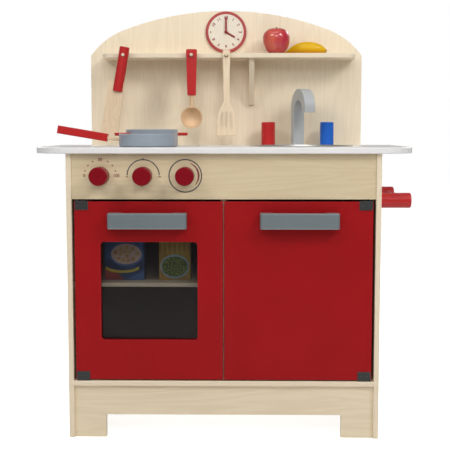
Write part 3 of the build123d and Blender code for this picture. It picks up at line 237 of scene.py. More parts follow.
def stretched(tree, vector, scale):
    """Coordinates multiplied along each axis."""
    node = add_node(tree, "ShaderNodeVectorMath", operation="MULTIPLY")
    feed(tree, node.inputs[0], vector)
    feed(tree, node.inputs[1], scale)
    return node.outputs[0]


def noise(tree, vector, scale, detail=2.0, roughness=0.5, distortion=0.0):
    """The value of a noise texture."""
    node = add_node(tree, "ShaderNodeTexNoise")
    names = ("Vector", "Scale", "Detail", "Roughness", "Distortion")
    for name, value in zip(names, (vector, scale, detail, roughness, distortion)):
        feed(tree, node.inputs[name], value)
    return node.outputs[0]


def dot(tree, vector, axis):
    """How far a vector reaches along an axis."""
    node = add_node(tree, "ShaderNodeVectorMath", operation="DOT_PRODUCT")
    feed(tree, node.inputs[0], vector)
    feed(tree, node.inputs[1], axis)
    return node.outputs["Value"]


def parts_of(tree, vector):
    """The X, Y and Z of a vector."""
    node = add_node(tree, "ShaderNodeSeparateXYZ")
    feed(tree, node.inputs[0], vector)
    return node.outputs[0], node.outputs[1], node.outputs[2]


def vector_of(tree, *parts):
    """A vector from its X, Y and Z."""
    node = add_node(tree, "ShaderNodeCombineXYZ")
    for socket, part in zip(node.inputs, parts):
        feed(tree, socket, part)
    return node.outputs[0]


def distance_from(tree, parts, centre):
    """The distance from an axis: a place's two parts across it, and where the axis stands."""
    squares = [calc(tree, "POWER", minus(tree, part, at), 2.0) for part, at in zip(parts, centre)]
    return calc(tree, "SQRT", plus(tree, *squares))


def new_group(name, inputs, outputs):
    """A shader group with named sockets, and its tree, entry and exit."""
    tree = bpy.data.node_groups.new(name, "ShaderNodeTree")
    for socket_name, kind, value in inputs:
        socket = tree.interface.new_socket(socket_name, in_out="INPUT", socket_type=kind)
        if value is not None:
            socket.default_value = value
    for socket_name, kind in outputs:
        tree.interface.new_socket(socket_name, in_out="OUTPUT", socket_type=kind)
    return tree, add_node(tree, "NodeGroupInput"), add_node(tree, "NodeGroupOutput")


def use_group(tree, group, **values):
    """A group placed in a tree, with its inputs by name (underscores stand for spaces)."""
    node = add_node(tree, "ShaderNodeGroup", node_tree=group)
    for name, value in values.items():
        feed(tree, node.inputs[name.replace("_", " ")], value)
    return node


def object_coordinates(tree, output="Object"):
    """The piece's own coordinates, or its normal."""
    return add_node(tree, "ShaderNodeTexCoord").outputs[output]


FLOAT, VECTOR = "NodeSocketFloat", "NodeSocketVector"


def make_grain_group():
    """Wood figure, fibres and pores. The grain runs along the vector's X."""
    tree, entry, leave = new_group(
        "wood_grain",
        [("Vector", VECTOR, None), ("Figure Width", FLOAT, 0.035), ("Fibre Width", FLOAT, 0.0012)],
        [("Figure", FLOAT), ("Fibre", FLOAT), ("Pores", FLOAT), ("Height", FLOAT)],
    )
    vector = entry.outputs["Vector"]
    figure_scale = calc(tree, "DIVIDE", 1.0, entry.outputs["Figure Width"])
    wide = noise(tree, stretched(tree, vector, (0.10, 1.0, 1.0)), figure_scale, 3.0, distortion=0.9)
    rings = calc(tree, "FRACT", times(tree, wide, 9.0))
    figure = spread(tree, calc(tree, "ABSOLUTE", minus(tree, rings, 0.5)), 0.05, 0.5)
    fibre_scale = calc(tree, "DIVIDE", 1.0, entry.outputs["Fibre Width"])
    fine = noise(tree, stretched(tree, vector, (0.025, 1.0, 1.0)), fibre_scale)
    fibre = spread(tree, fine, 0.30, 0.70)
    flecks = noise(tree, stretched(tree, vector, (0.06, 1.0, 1.0)), 1100.0, 1.0)
    pores = spread(tree, flecks, 0.66, 0.74)
    height = minus(tree, times(tree, fibre, 0.5), pores)
    for name, value in (("Figure", figure), ("Fibre", fibre), ("Pores", pores), ("Height", height)):
        feed(tree, leave.inputs[name], value)
    return tree


def make_ply_group():
    """Plies on a board's edge: end-grain plies alternate with long-grain ones, with glue lines between."""
    tree, entry, leave = new_group(
        "ply_edge",
        [("Depth", FLOAT, 0.0), ("Thickness", FLOAT, PLY), ("Vector", VECTOR, None)],
        [("End Grain", FLOAT), ("Glue", FLOAT)],
    )
    wave = noise(tree, entry.outputs["Vector"], 18.0, 2.0)
    shift = times(tree, minus(tree, wave, 0.5), 0.0006)
    depth = plus(tree, entry.outputs["Depth"], shift)
    count = times(tree, calc(tree, "DIVIDE", depth, entry.outputs["Thickness"]), PLIES)
    half = calc(tree, "FRACT", times(tree, count, 0.5))
    end_grain = calc(tree, "GREATER_THAN", half, 0.5)
    near = calc(tree, "ABSOLUTE", minus(tree, calc(tree, "FRACT", count), 0.5))
    feed(tree, leave.inputs["End Grain"], end_grain)
    feed(tree, leave.inputs["Glue"], spread(tree, near, 0.42, 0.50))
    return tree


def make_edge_group():
    """1 along the edges and corners of a solid, 0 on its flats, broken up a little. It masks the painted
    highlight and shade along edges, and the darker edges of bare wood.
    """
    tree, entry, leave = new_group(
        "edge_light", [("Radius", FLOAT, 0.0012), ("Vector", VECTOR, None)], [("Edge", FLOAT)]
    )
    soft = add_node(tree, "ShaderNodeBevel", samples=4)
    feed(tree, soft.inputs["Radius"], entry.outputs["Radius"])
    flat = add_node(tree, "ShaderNodeNewGeometry").outputs["Normal"]
    edge = spread(tree, dot(tree, soft.outputs[0], flat), 0.80, 0.995, 1.0, 0.0)
    broken = spread(tree, noise(tree, entry.outputs["Vector"], 160.0, 3.0), 0.30, 0.55, 0.55, 1.0)
    feed(tree, leave.inputs["Edge"], times(tree, edge, broken))
    return tree


def make_paint_group():
    """Sprayed paint: a slow change of tone, a fine orange peel and a few faint handling marks."""
    tree, entry, leave = new_group(
        "paint_skin",
        [("Vector", VECTOR, None), ("Peel Size", FLOAT, 0.0016)],
        [("Tone", FLOAT), ("Peel", FLOAT), ("Marks", FLOAT)],
    )
    vector = entry.outputs["Vector"]
    peel = noise(tree, vector, calc(tree, "DIVIDE", 1.0, entry.outputs["Peel Size"]), 1.0)
    tone = noise(tree, vector, 9.0, 3.0)
    streaks = noise(tree, stretched(tree, vector, (9.0, 9.0, 1.2)), 30.0, 4.0, 0.7, 1.5)
    feed(tree, leave.inputs["Tone"], spread(tree, tone, 0.3, 0.7))
    feed(tree, leave.inputs["Peel"], peel)
    feed(tree, leave.inputs["Marks"], spread(tree, streaks, 0.62, 0.80))
    return tree


GRAIN = make_grain_group()
PLY_EDGE = make_ply_group()
EDGE = make_edge_group()
PAINT = make_paint_group()


def new_material(name, colour):
    """A material with a Principled BSDF, and its viewport colour."""
    material = bpy.data.materials.new(name)
    material.use_nodes = True
    material.diffuse_color = colour
    tree = material.node_tree
    return material, tree, tree.nodes["Principled BSDF"]


def add_bump(tree, shader, height, strength, distance):
    """Bump from a height, on the shader's normal."""
    bump = add_node(tree, "ShaderNodeBump")
    bump.inputs["Strength"].default_value = strength
    bump.inputs["Distance"].default_value = distance
    feed(tree, bump.inputs["Height"], height)
    feed(tree, shader.inputs["Normal"], bump.outputs[0])


def grain_vector(tree, grain_axis, turn=0.0):
    """Object coordinates turned so that X runs along the grain."""
    angles = {"X": (0, 0, turn), "Y": (0, 0, math.radians(90) + turn), "Z": (0, math.radians(90), turn)}
    mapping = add_node(tree, "ShaderNodeMapping", vector_type="TEXTURE")
    feed(tree, mapping.inputs["Vector"], object_coordinates(tree))
    mapping.inputs["Rotation"].default_value = angles[grain_axis]
    return mapping.outputs[0]


def plywood(node):
    """Lacquered birch ply: veneer on the faces, plies on the edges, sized from the board's own box."""
    thickness_axis, grain_axis, shade_and_warmth = BOARDS[node]
    low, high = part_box(node)
    axis = AXES[thickness_axis]
    material, tree, shader = new_material(f"birch_ply_{node}", PALE_VENEER)
    place = object_coordinates(tree)
    offset = add_node(tree, "ShaderNodeVectorMath", operation="ADD")
    feed(tree, offset.inputs[0], grain_vector(tree, grain_axis))
    offset.inputs[1].default_value = (shade_and_warmth * 3.0, shade_and_warmth * 7.0, shade_and_warmth * 5.0)
    along = offset.outputs[0]
    grain = use_group(tree, GRAIN, Vector=along, Figure_Width=0.055, Fibre_Width=0.0016)
    # Painted shade, partly the board's own tone: each board is darkened towards the darker veneer by its
    # share
    ground = blend_colours(tree, shade_and_warmth, PALE_VENEER, WARM_VENEER_AND_SHADE)
    cloud = spread(tree, noise(tree, stretched(tree, along, (0.4, 1.6, 1.6)), 7.0), 0.3, 0.7)
    ground = blend_colours(tree, times(tree, cloud, 0.14), ground, WARM_VENEER_AND_SHADE)
    lines = times(tree, grain.outputs["Figure"], 0.09 + 0.13 * shade_and_warmth)
    fibre = times(tree, grain.outputs["Fibre"], 0.07)
    veneer = blend_colours(tree, plus(tree, lines, fibre), ground, VENEER_LINE)
    veneer = blend_colours(tree, times(tree, grain.outputs["Pores"], 0.12), veneer, END_PLY)
    from_face = minus(tree, dot(tree, place, axis), low.dot(axis))
    plies = use_group(tree, PLY_EDGE, Depth=from_face, Thickness=(high - low).dot(axis), Vector=place)
    edge = blend_colours(tree, times(tree, plies.outputs["End Grain"], 0.30), EDGE_VENEER, END_PLY)
    edge = blend_colours(tree, times(tree, plies.outputs["Glue"], 0.35), edge, GLUE_LINE)
    facing = calc(tree, "ABSOLUTE", dot(tree, object_coordinates(tree, "Normal"), axis))
    on_edge = spread(tree, facing, 0.55, 0.75, 1.0, 0.0)
    feed(tree, shader.inputs["Base Color"], blend_colours(tree, on_edge, veneer, edge))
    feed(tree, shader.inputs["Roughness"], spread(tree, grain.outputs["Fibre"], 0.0, 1.0, 0.42, 0.52))
    add_bump(tree, shader, grain.outputs["Height"], 0.12, RELIEF)
    return material


def bare_wood(name, light, dark, grain_axis, figure_width, roughness=0.55):
    """Sanded solid wood with its figure, fibres and slightly darker edges."""
    material, tree, shader = new_material(name, light)
    along = grain_vector(tree, grain_axis)
    grain = use_group(tree, GRAIN, Vector=along, Figure_Width=figure_width, Fibre_Width=0.0009)
    edge = use_group(tree, EDGE, Radius=0.0012, Vector=along)
    fibre = grain.outputs["Fibre"]
    share = plus(tree, times(tree, grain.outputs["Figure"], 0.42), times(tree, fibre, 0.30))
    colour = blend_colours(tree, share, light, dark)
    darker_edges = times(tree, edge.outputs["Edge"], 0.35)
    feed(tree, shader.inputs["Base Color"], blend_colours(tree, darker_edges, colour, dark))
    feed(tree, shader.inputs["Roughness"], spread(tree, fibre, 0, 1, roughness, roughness + 0.1))
    add_bump(tree, shader, grain.outputs["Height"], 0.25, RELIEF)
    return material


def painted(name, colour, edge_shading_colour, roughness, coat, edge_shading_share, edge_radius=0.0012, grain_axis="X",
            telegraph=0.10, shine=0.35):
    """Satin paint on wood: the grain shows through faintly, and the edges carry painted light: a lighter edge
    colour is a painted highlight, a darker one is painted shade.
    """
    material, tree, shader = new_material(name, colour)
    place = object_coordinates(tree)
    skin = use_group(tree, PAINT, Vector=place, Peel_Size=0.0016)
    along = grain_vector(tree, grain_axis)
    grain = use_group(tree, GRAIN, Vector=along, Figure_Width=0.012, Fibre_Width=0.0011)
    edge = use_group(tree, EDGE, Radius=edge_radius, Vector=place)
    deeper = tuple(part * 0.86 for part in colour[:3]) + (1,)
    tone = plus(tree, times(tree, skin.outputs["Tone"], 0.55), times(tree, grain.outputs["Fibre"], 0.35))
    ground = blend_colours(tree, tone, colour, deeper)
    # Painted highlight along the edges where the edge colour is lighter, painted shade where it is darker
    light = times(tree, edge.outputs["Edge"], edge_shading_share)
    feed(tree, shader.inputs["Base Color"], blend_colours(tree, light, ground, edge_shading_colour))
    rough = spread(tree, skin.outputs["Marks"], 0, 1, roughness, roughness + 0.12)
    feed(tree, shader.inputs["Roughness"], rough)
    shader.inputs["Specular IOR Level"].default_value = shine
    shader.inputs["Coat Weight"].default_value = coat
    shader.inputs["Coat Roughness"].default_value = 0.22
    height = plus(tree, skin.outputs["Peel"], times(tree, grain.outputs["Height"], 1.2))
    add_bump(tree, shader, height, telegraph, RELIEF)
    return material


def lighter(colour, share):
    """A colour brought towards white."""
    return tuple(part + (0.85 - part) * share for part in colour[:3]) + (1,)


def laminate():
    """White satin foil on the worktop, with a very fine grain and faint wipe marks."""
    material, tree, shader = new_material("white_laminate", (0.86, 0.85, 0.83, 1))
    skin = use_group(tree, PAINT, Vector=object_coordinates(tree), Peel_Size=0.0009)
    white, shade = (0.790, 0.780, 0.765, 1), (0.755, 0.745, 0.730, 1)
    feed(tree, shader.inputs["Base Color"], blend_colours(tree, skin.outputs["Tone"], white, shade))
    feed(tree, shader.inputs["Roughness"], spread(tree, skin.outputs["Marks"], 0, 1, 0.30, 0.42))
    add_bump(tree, shader, skin.outputs["Peel"], 0.08, FINE_RELIEF)
    return material


def hardboard():
    """Brown pressed fibre board, smooth but mottled."""
    material, tree, shader = new_material("pressed_fibre_board", (0.20, 0.12, 0.065, 1))
    place = object_coordinates(tree)
    mottle = noise(tree, place, 260.0, 4.0, 0.7)
    clouds = noise(tree, place, 6.0)
    share = spread(tree, plus(tree, times(tree, mottle, 0.6), times(tree, clouds, 0.4)), 0.3, 0.7)
    light, dark = (0.19, 0.115, 0.070, 1), (0.11, 0.062, 0.036, 1)
    feed(tree, shader.inputs["Base Color"], blend_colours(tree, share, light, dark))
    feed(tree, shader.inputs["Roughness"], spread(tree, mottle, 0.3, 0.7, 0.55, 0.75))
    add_bump(tree, shader, mottle, 0.2, RELIEF)
    return material


def metal(name, colour, edge_shading_colour, roughness, metallic=1.0):
    """Plated or coated metal with a fine uneven tone, and brighter edges that are a painted highlight."""
    material, tree, shader = new_material(name, colour)
    place = object_coordinates(tree)
    uneven = noise(tree, place, 900.0)
    tone = spread(tree, uneven, 0.3, 0.7)
    darker = tuple(part * 0.80 for part in colour[:3]) + (1,)
    ground = blend_colours(tree, tone, colour, darker)
    edge = use_group(tree, EDGE, Radius=0.0008, Vector=place)
    # Painted highlight: the edges are brought towards the brighter edge colour
    share = times(tree, edge.outputs["Edge"], 0.7)
    feed(tree, shader.inputs["Base Color"], blend_colours(tree, share, ground, edge_shading_colour))
    shader.inputs["Metallic"].default_value = metallic
    feed(tree, shader.inputs["Roughness"], spread(tree, tone, 0, 1, roughness, roughness + 0.12))
    add_bump(tree, shader, uneven, 0.12, FINE_RELIEF)
    return material


def sink_steel(centre):
    """Spun stainless steel: fine circles about the bowl's axis."""
    material, tree, shader = new_material("spun_sink_steel", (0.50, 0.48, 0.46, 1))
    across, deep, up = parts_of(tree, object_coordinates(tree))
    radius = distance_from(tree, (across, deep), centre)
    circles = noise(tree, vector_of(tree, radius, up), 1400.0)
    tone = spread(tree, circles, 0.3, 0.7)
    colour = blend_colours(tree, tone, (0.66, 0.65, 0.63, 1), (0.52, 0.51, 0.49, 1))
    feed(tree, shader.inputs["Base Color"], colour)
    shader.inputs["Metallic"].default_value = 1.0
    feed(tree, shader.inputs["Roughness"], spread(tree, tone, 0, 1, 0.26, 0.38))
    add_bump(tree, shader, circles, 0.10, FINE_RELIEF)
    return material


def moulded_plastic(name, colour):
    """Dark moulded plastic with a fine texture."""
    material, tree, shader = new_material(name, colour)
    skin = use_group(tree, PAINT, Vector=object_coordinates(tree), Peel_Size=0.0007)
    tone = blend_colours(tree, skin.outputs["Tone"], colour, lighter(colour, 0.05))
    feed(tree, shader.inputs["Base Color"], tone)
    feed(tree, shader.inputs["Roughness"], spread(tree, skin.outputs["Peel"], 0.3, 0.7, 0.45, 0.6))
    add_bump(tree, shader, skin.outputs["Peel"], 0.25, FINE_RELIEF)
    return material


def smoked_pane():
    """Smoked acrylic that shows the oven behind it."""
    material, tree, shader = new_material("smoked_acrylic", (0.04, 0.04, 0.045, 1))
    skin = use_group(tree, PAINT, Vector=object_coordinates(tree), Peel_Size=0.02)
    colour = blend_colours(tree, skin.outputs["Tone"], (0.006, 0.005, 0.006, 1), (0.011, 0.009, 0.010, 1))
    feed(tree, shader.inputs["Base Color"], colour)
    feed(tree, shader.inputs["Roughness"], spread(tree, skin.outputs["Marks"], 0, 1, 0.06, 0.14))
    shader.inputs["Alpha"].default_value = 0.30
    material.surface_render_method = "BLENDED"
    return material


def clock_dial():
    """Pale veneer inside a red painted rim."""
    low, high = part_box("clock_face")
    centre = (low + high) / 2
    material, tree, shader = new_material("clock_dial", PALE_VENEER)
    place = object_coordinates(tree)
    along = grain_vector(tree, "Z")
    grain = use_group(tree, GRAIN, Vector=along, Figure_Width=0.03, Fibre_Width=0.0012)
    skin = use_group(tree, PAINT, Vector=place, Peel_Size=0.0014)
    share = times(tree, grain.outputs["Figure"], 0.15)
    veneer = blend_colours(tree, share, (0.79, 0.72, 0.60, 1), WARM_VENEER_AND_SHADE)
    rim = blend_colours(tree, skin.outputs["Tone"], (0.42, 0.040, 0.040, 1), (0.36, 0.030, 0.030, 1))
    across, _, up = parts_of(tree, place)
    radius = distance_from(tree, (across, up), (centre.x, centre.z))
    inside = spread(tree, radius, CLOCK_RIM_INNER - RIM_BLUR, CLOCK_RIM_INNER + RIM_BLUR, 1.0, 0.0)
    feed(tree, shader.inputs["Base Color"], blend_colours(tree, inside, rim, veneer))
    feed(tree, shader.inputs["Roughness"], spread(tree, skin.outputs["Peel"], 0.3, 0.7, 0.34, 0.44))
    add_bump(tree, shader, grain.outputs["Height"], 0.1, FINE_RELIEF)
    return material


def apple_skin():
    """Red lacquer with a lighter flush, and a brown stem."""
    low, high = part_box("apple")
    centre = (low + high) / 2
    material, tree, shader = new_material("apple_lacquer", (0.5, 0.04, 0.05, 1))
    place = object_coordinates(tree)
    skin = use_group(tree, PAINT, Vector=place, Peel_Size=0.0016)
    flush = spread(tree, noise(tree, stretched(tree, place, (1.0, 1.0, 0.35)), 38.0, 3.0), 0.40, 0.68)
    colour = blend_colours(tree, flush, (0.47, 0.020, 0.040, 1), (0.62, 0.105, 0.062, 1))
    across, deep, up = parts_of(tree, place)
    radius = distance_from(tree, (across, deep), (centre.x, centre.y))
    stem = spread(tree, radius, STEM_RADIUS, STEM_RADIUS + STEM_BLUR, 1.0, 0.0)
    stem = times(tree, stem, calc(tree, "GREATER_THAN", up, high.z - STEM_SHOWING))
    feed(tree, shader.inputs["Base Color"], blend_colours(tree, stem, colour, (0.10, 0.055, 0.025, 1)))
    feed(tree, shader.inputs["Roughness"], spread(tree, skin.outputs["Peel"], 0.3, 0.7, 0.24, 0.32))
    shader.inputs["Coat Weight"].default_value = 0.5
    add_bump(tree, shader, skin.outputs["Peel"], 0.06, RELIEF)
    return material


def banana_skin():
    """Yellow lacquer, painted shade that makes the underside darker and more orange, and brown tips."""
    low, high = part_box("banana")
    material, tree, shader = new_material("banana_lacquer", (0.78, 0.45, 0.01, 1))
    place = object_coordinates(tree)
    skin = use_group(tree, PAINT, Vector=place, Peel_Size=0.0018)
    across, _, up = parts_of(tree, place)
    # Painted shade: darker and more orange towards the bottom, mixed with a random tone
    underside_shade = spread(tree, up, low.z, low.z + 0.016, 1.0, 0.0)
    underside_shade_and_tone = plus(tree, times(tree, underside_shade, 0.7), times(tree, skin.outputs["Tone"], 0.3))
    colour = blend_colours(tree, underside_shade_and_tone, (0.79, 0.49, 0.004, 1), (0.62, 0.29, 0.002, 1))
    left_tip = spread(tree, across, low.x + 0.002, low.x + 0.005, 1.0, 0.0)
    right_tip = spread(tree, across, high.x - 0.0035, high.x - 0.0015)
    tips = calc(tree, "MAXIMUM", left_tip, right_tip)
    feed(tree, shader.inputs["Base Color"], blend_colours(tree, tips, colour, (0.14, 0.075, 0.02, 1)))
    feed(tree, shader.inputs["Roughness"], spread(tree, skin.outputs["Peel"], 0.3, 0.7, 0.28, 0.36))
    shader.inputs["Specular IOR Level"].default_value = 0.25
    shader.inputs["Coat Weight"].default_value = 0.08
    add_bump(tree, shader, skin.outputs["Peel"], 0.08, RELIEF)
    return material


def printed_ink(name, colour):
    """Screen-printed ink with a slightly uneven lay-down."""
    material, tree, shader = new_material(name, colour)
    place = object_coordinates(tree)
    uneven = noise(tree, place, 700.0, 3.0)
    share = spread(tree, uneven, 0.35, 0.75)
    feed(tree, shader.inputs["Base Color"], blend_colours(tree, share, colour, lighter(colour, 0.10)))
    feed(tree, shader.inputs["Roughness"], spread(tree, uneven, 0.3, 0.7, 0.42, 0.56))
    add_bump(tree, shader, uneven, 0.1, INK_RELIEF)
    return material


def printed_card(name, colour, second):
    """Coated card: a fine print dot over a slow blend of two colours."""
    material, tree, shader = new_material(name, colour)
    place = object_coordinates(tree)
    clouds = spread(tree, noise(tree, place, 45.0, 3.0), 0.35, 0.65)
    dots = add_node(tree, "ShaderNodeTexVoronoi", feature="F1")
    feed(tree, dots.inputs["Vector"], place)
    dots.inputs["Scale"].default_value = 1500.0
    dots.inputs["Randomness"].default_value = 0.0
    ink = spread(tree, dots.outputs["Distance"], 0.25, 0.55)
    share = times(tree, clouds, 0.75)
    share = plus(tree, share, times(tree, ink, 0.12))
    feed(tree, shader.inputs["Base Color"], blend_colours(tree, share, colour, second))
    feed(tree, shader.inputs["Roughness"], spread(tree, clouds, 0, 1, 0.30, 0.38))
    add_bump(tree, shader, noise(tree, place, 380.0, 2.0), 0.06, FINE_RELIEF)
    return material


def finish_node(node, material):
    """Give a CAD node its material."""
    mesh = nodes[node].data
    mesh.materials.clear()
    mesh.materials.append(material)


def dress_cad_nodes():
    """Every CAD node gets its finish, and the steel fittings that no list names get zinc plate."""
    for board in BOARDS:
        finish_node(board, plywood(board))
    pale = bare_wood("pale_beech_upright", (0.86, 0.71, 0.52, 1), (0.70, 0.52, 0.32, 1), "Z", 0.018)
    blade = bare_wood("pale_beech_blade", (0.80, 0.62, 0.43, 1), (0.66, 0.48, 0.30, 1), "Z", 0.016)
    neck = bare_wood("pale_beech_neck", (0.74, 0.56, 0.37, 1), (0.58, 0.41, 0.24, 1), "X", 0.016)
    tan = bare_wood("turned_tan_wood", (0.80, 0.56, 0.345, 1), (0.60, 0.38, 0.20, 1), "Z", 0.007, 0.45)
    pegs = bare_wood("peg_wood", (0.78, 0.66, 0.50, 1), (0.60, 0.46, 0.30, 1), "Y", 0.010)
    # The lighter edge colours below are painted highlights along the edges; the darker ones, on the tap and
    # the pan and pot, are painted shade.
    door_red = painted(
        "door_red_paint", DOOR_RED, lighter(DOOR_RED, 0.16), roughness=0.42, coat=0.0, edge_shading_share=0.30,
        edge_radius=0.0010, grain_axis="Z", telegraph=0.05, shine=0.14,
    )
    knob_red = painted(
        "knob_red_paint", KNOB_RED, lighter(BRIGHT_RED, 0.20), roughness=0.36, coat=0.05, edge_shading_share=0.45,
        edge_radius=0.0016, shine=0.16,
    )
    bright = painted(
        "bright_red_paint", BRIGHT_RED, lighter(BRIGHT_RED, 0.25), roughness=0.30, coat=0.15, edge_shading_share=0.25,
        edge_radius=0.0010, grain_axis="Z", shine=0.30,
    )
    hands = painted(
        "clock_hand_paint", HAND_RED, lighter(HAND_RED, 0.10), roughness=0.40, coat=0.0, edge_shading_share=0.10,
        shine=0.15,
    )
    blue = painted(
        "blue_paint", BLUE, lighter(BLUE, 0.30), roughness=0.26, coat=0.30, edge_shading_share=0.25,
        edge_radius=0.0010, grain_axis="Z",
    )
    handle = painted(
        "handle_grey_paint", HANDLE_GREY, (0.50, 0.52, 0.53, 1), roughness=0.36, coat=0.10, edge_shading_share=0.90,
        edge_radius=0.0040, telegraph=0.14,
    )
    tap = painted(
        "tap_grey_paint", TAP_GREY, (0.30, 0.31, 0.31, 1), roughness=0.34, coat=0.20, edge_shading_share=0.45,
        edge_radius=0.0014, grain_axis="Z", telegraph=0.06, shine=0.30,
    )
    vessel = painted(
        "vessel_grey_paint", VESSEL_GREY, (0.16, 0.19, 0.23, 1), roughness=0.30, coat=0.35, edge_shading_share=0.40,
        edge_radius=0.0014, telegraph=0.05,
    )
    steel = metal("zinc_plated_steel", (0.56, 0.56, 0.58, 1), (0.75, 0.75, 0.76, 1), 0.30)
    clip = metal("dark_coated_clip", (0.050, 0.052, 0.052, 1), (0.34, 0.34, 0.33, 1), 0.38, metallic=0.55)
    bowl = middle(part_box("sink_bowl"))
    black = moulded_plastic("black_moulding", (0.022, 0.022, 0.023, 1))
    navy = printed_card("carton_navy_card", (0.012, 0.040, 0.130, 1), (0.030, 0.085, 0.230, 1))
    gold = printed_card("carton_gold_card", (0.560, 0.380, 0.060, 1), (0.420, 0.240, 0.030, 1))
    finishes = {
        "spatula": pale, "cleaver_blade": blade, "pan_neck": neck, "ladle_bowl": tan, "utensil_pegs": pegs,
        "left_door_panel": door_red, "right_door_panel": door_red,
        "left_knob": knob_red, "middle_knob": knob_red, "right_knob": knob_red,
        "rail_posts": bright, "rail_bar": bright, "hot_valve": bright, "cold_valve": blue,
        "cleaver_handle": bright, "ladle_handle": bright, "pan_grip": bright, "pot_handles": bright,
        "hour_hand": hands, "minute_hand": hands, "clock_pin": hands,
        "left_handle": handle, "right_handle": handle, "tap": tap, "pan_body": vessel, "pot_body": vessel,
        "worktop": laminate(), "back_panel": hardboard(), "window_pane": smoked_pane(),
        "sink_bowl": sink_steel((bowl.x, bowl.y)), "clock_face": clock_dial(),
        "apple": apple_skin(), "banana": banana_skin(),
        "left_hinge_clips": clip, "right_hinge_clips": clip, "hinge_bushes": black, "door_catches": black,
        "left_carton": navy, "right_carton": gold,
    }
    for node, material in finishes.items():
        finish_node(node, material)
    for node in sorted(set(nodes) - set(finishes) - set(BOARDS)):
        finish_node(node, steel)


# Flat prints: made lying in a plane of their own, then stood against the surface that they are on
FACINGS = {
    "front": ((1, 0, 0), (0, 0, 1), (0, -1, 0)),
    "back": ((-1, 0, 0), (0, 0, 1), (0, 1, 0)),
    "right": ((0, 1, 0), (0, 0, 1), (1, 0, 0)),
    "left": ((0, -1, 0), (0, 0, 1), (-1, 0, 0)),
    "top": ((1, 0, 0), (0, 1, 0), (0, 0, 1)),
    "below": ((1, 0, 0), (0, -1, 0), (0, 0, -1)),
}


def facing_matrix(place, facing):
    """Turns a print's plane to face a side, with its origin at a place."""
    across, up, out = (Vector(v) for v in FACINGS[facing])
    matrix = Matrix((across, up, out)).transposed().to_4x4()
    matrix.translation = Vector(place)
    return matrix


def mesh_object(name, mesh, material=None):
    """A mesh placed in the scene."""
    thing = bpy.data.objects.new(name, mesh)
    bpy.context.scene.collection.objects.link(thing)
    if material:
        mesh.materials.clear()
        mesh.materials.append(material)
    return thing


def built(name, shape, material, turn_out=True):
    """A piece from a built shape, with its faces turned outwards unless they already are."""
    if turn_out:
        bmesh.ops.recalc_face_normals(shape, faces=shape.faces)
    mesh = bpy.data.meshes.new(name)
    shape.to_mesh(mesh)
    shape.free()
    return mesh_object(name, mesh, material)


def skin_rows(shape, rows, closed):
    """Faces along rows of four corners, in a ring or with a cap at either end."""
    for first, second in list(zip(rows, rows[1:])) + ([(rows[-1], rows[0])] if closed else []):
        for a, b in ((0, 1), (1, 2), (2, 3), (3, 0)):
            shape.faces.new((first[a], first[b], second[b], second[a]))
    if not closed:
        for row in (rows[0], rows[-1]):
            shape.faces.new(row)


def solid_print(name, outline, material, height=INK):
    """A thin closed solid from an outline of points in its plane."""
    shape = bmesh.new()
    face = shape.faces.new([shape.verts.new((u, v, 0)) for u, v in outline])
    raised = bmesh.ops.extrude_face_region(shape, geom=[face])["geom"]
    top = [part for part in raised if isinstance(part, bmesh.types.BMVert)]
    bmesh.ops.translate(shape, verts=top, vec=(0, 0, height))
    return built(name, shape, material)


def arc_band(name, radius, width, start, end, material, end_width=None, height=INK):
    """A thin band along an arc, which may taper towards both ends to end_width."""
    count = max(3, math.ceil(abs(end - start) / ARC_STEP))
    closed = abs(abs(end - start) - 2 * math.pi) < ARC_STEP / 2
    shape = bmesh.new()
    rows = []
    for step in range(count if closed else count + 1):
        share = step / count
        turn = start + (end - start) * share
        here = width
        if end_width is not None:
            here = end_width + (width - end_width) * math.sin(math.pi * share)
        inner, outer = radius - here / 2, radius + here / 2
        across, up = math.cos(turn), math.sin(turn)
        corners = ((inner, 0.0), (inner, height), (outer, height), (outer, 0.0))
        rows.append([shape.verts.new((reach * across, reach * up, level)) for reach, level in corners])
    skin_rows(shape, rows, closed)
    return built(name, shape, material)


def stand(thing, place, facing, body):
    """Stand a flat piece against a surface, and let it ride on that body."""
    thing.data.transform(facing_matrix(place, facing))
    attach(thing, body)


def on_circle(radius, turn):
    """The move to a place on a circle in a print's plane."""
    return Matrix.Translation((radius * math.cos(turn), radius * math.sin(turn), 0))


def evaluated_mesh(name, holder):
    """The plain mesh that a text or a geometry tree gives. Its holder is removed."""
    bpy.context.view_layer.update()
    graph = bpy.context.evaluated_depsgraph_get()
    mesh = bpy.data.meshes.new_from_object(holder.evaluated_get(graph))
    bpy.data.objects.remove(holder)
    mesh.name = name
    return mesh


def numeral(name, text, height, material, turn=0.0, bold=0.0):
    """A printed number, centred on its place in its plane."""
    curve = bpy.data.curves.new(name, "FONT")
    curve.body = text
    curve.size = height * FONT_PER_DIGIT
    curve.extrude = INK / 2
    curve.offset = bold
    curve.align_x = "CENTER"
    curve.align_y = "CENTER"
    holder = bpy.data.objects.new(name, curve)
    bpy.context.scene.collection.objects.link(holder)
    mesh = evaluated_mesh(name, holder)
    mesh.transform(Matrix.Rotation(turn, 4, "Z") @ Matrix.Translation((0, 0, INK / 2)))
    return mesh_object(name, mesh, material)


def joined(name, things, material):
    """Several meshes as one piece."""
    shape = bmesh.new()
    for thing in things:
        shape.from_mesh(thing.data)
        bpy.data.objects.remove(thing)
    return built(name, shape, material, turn_out=False)


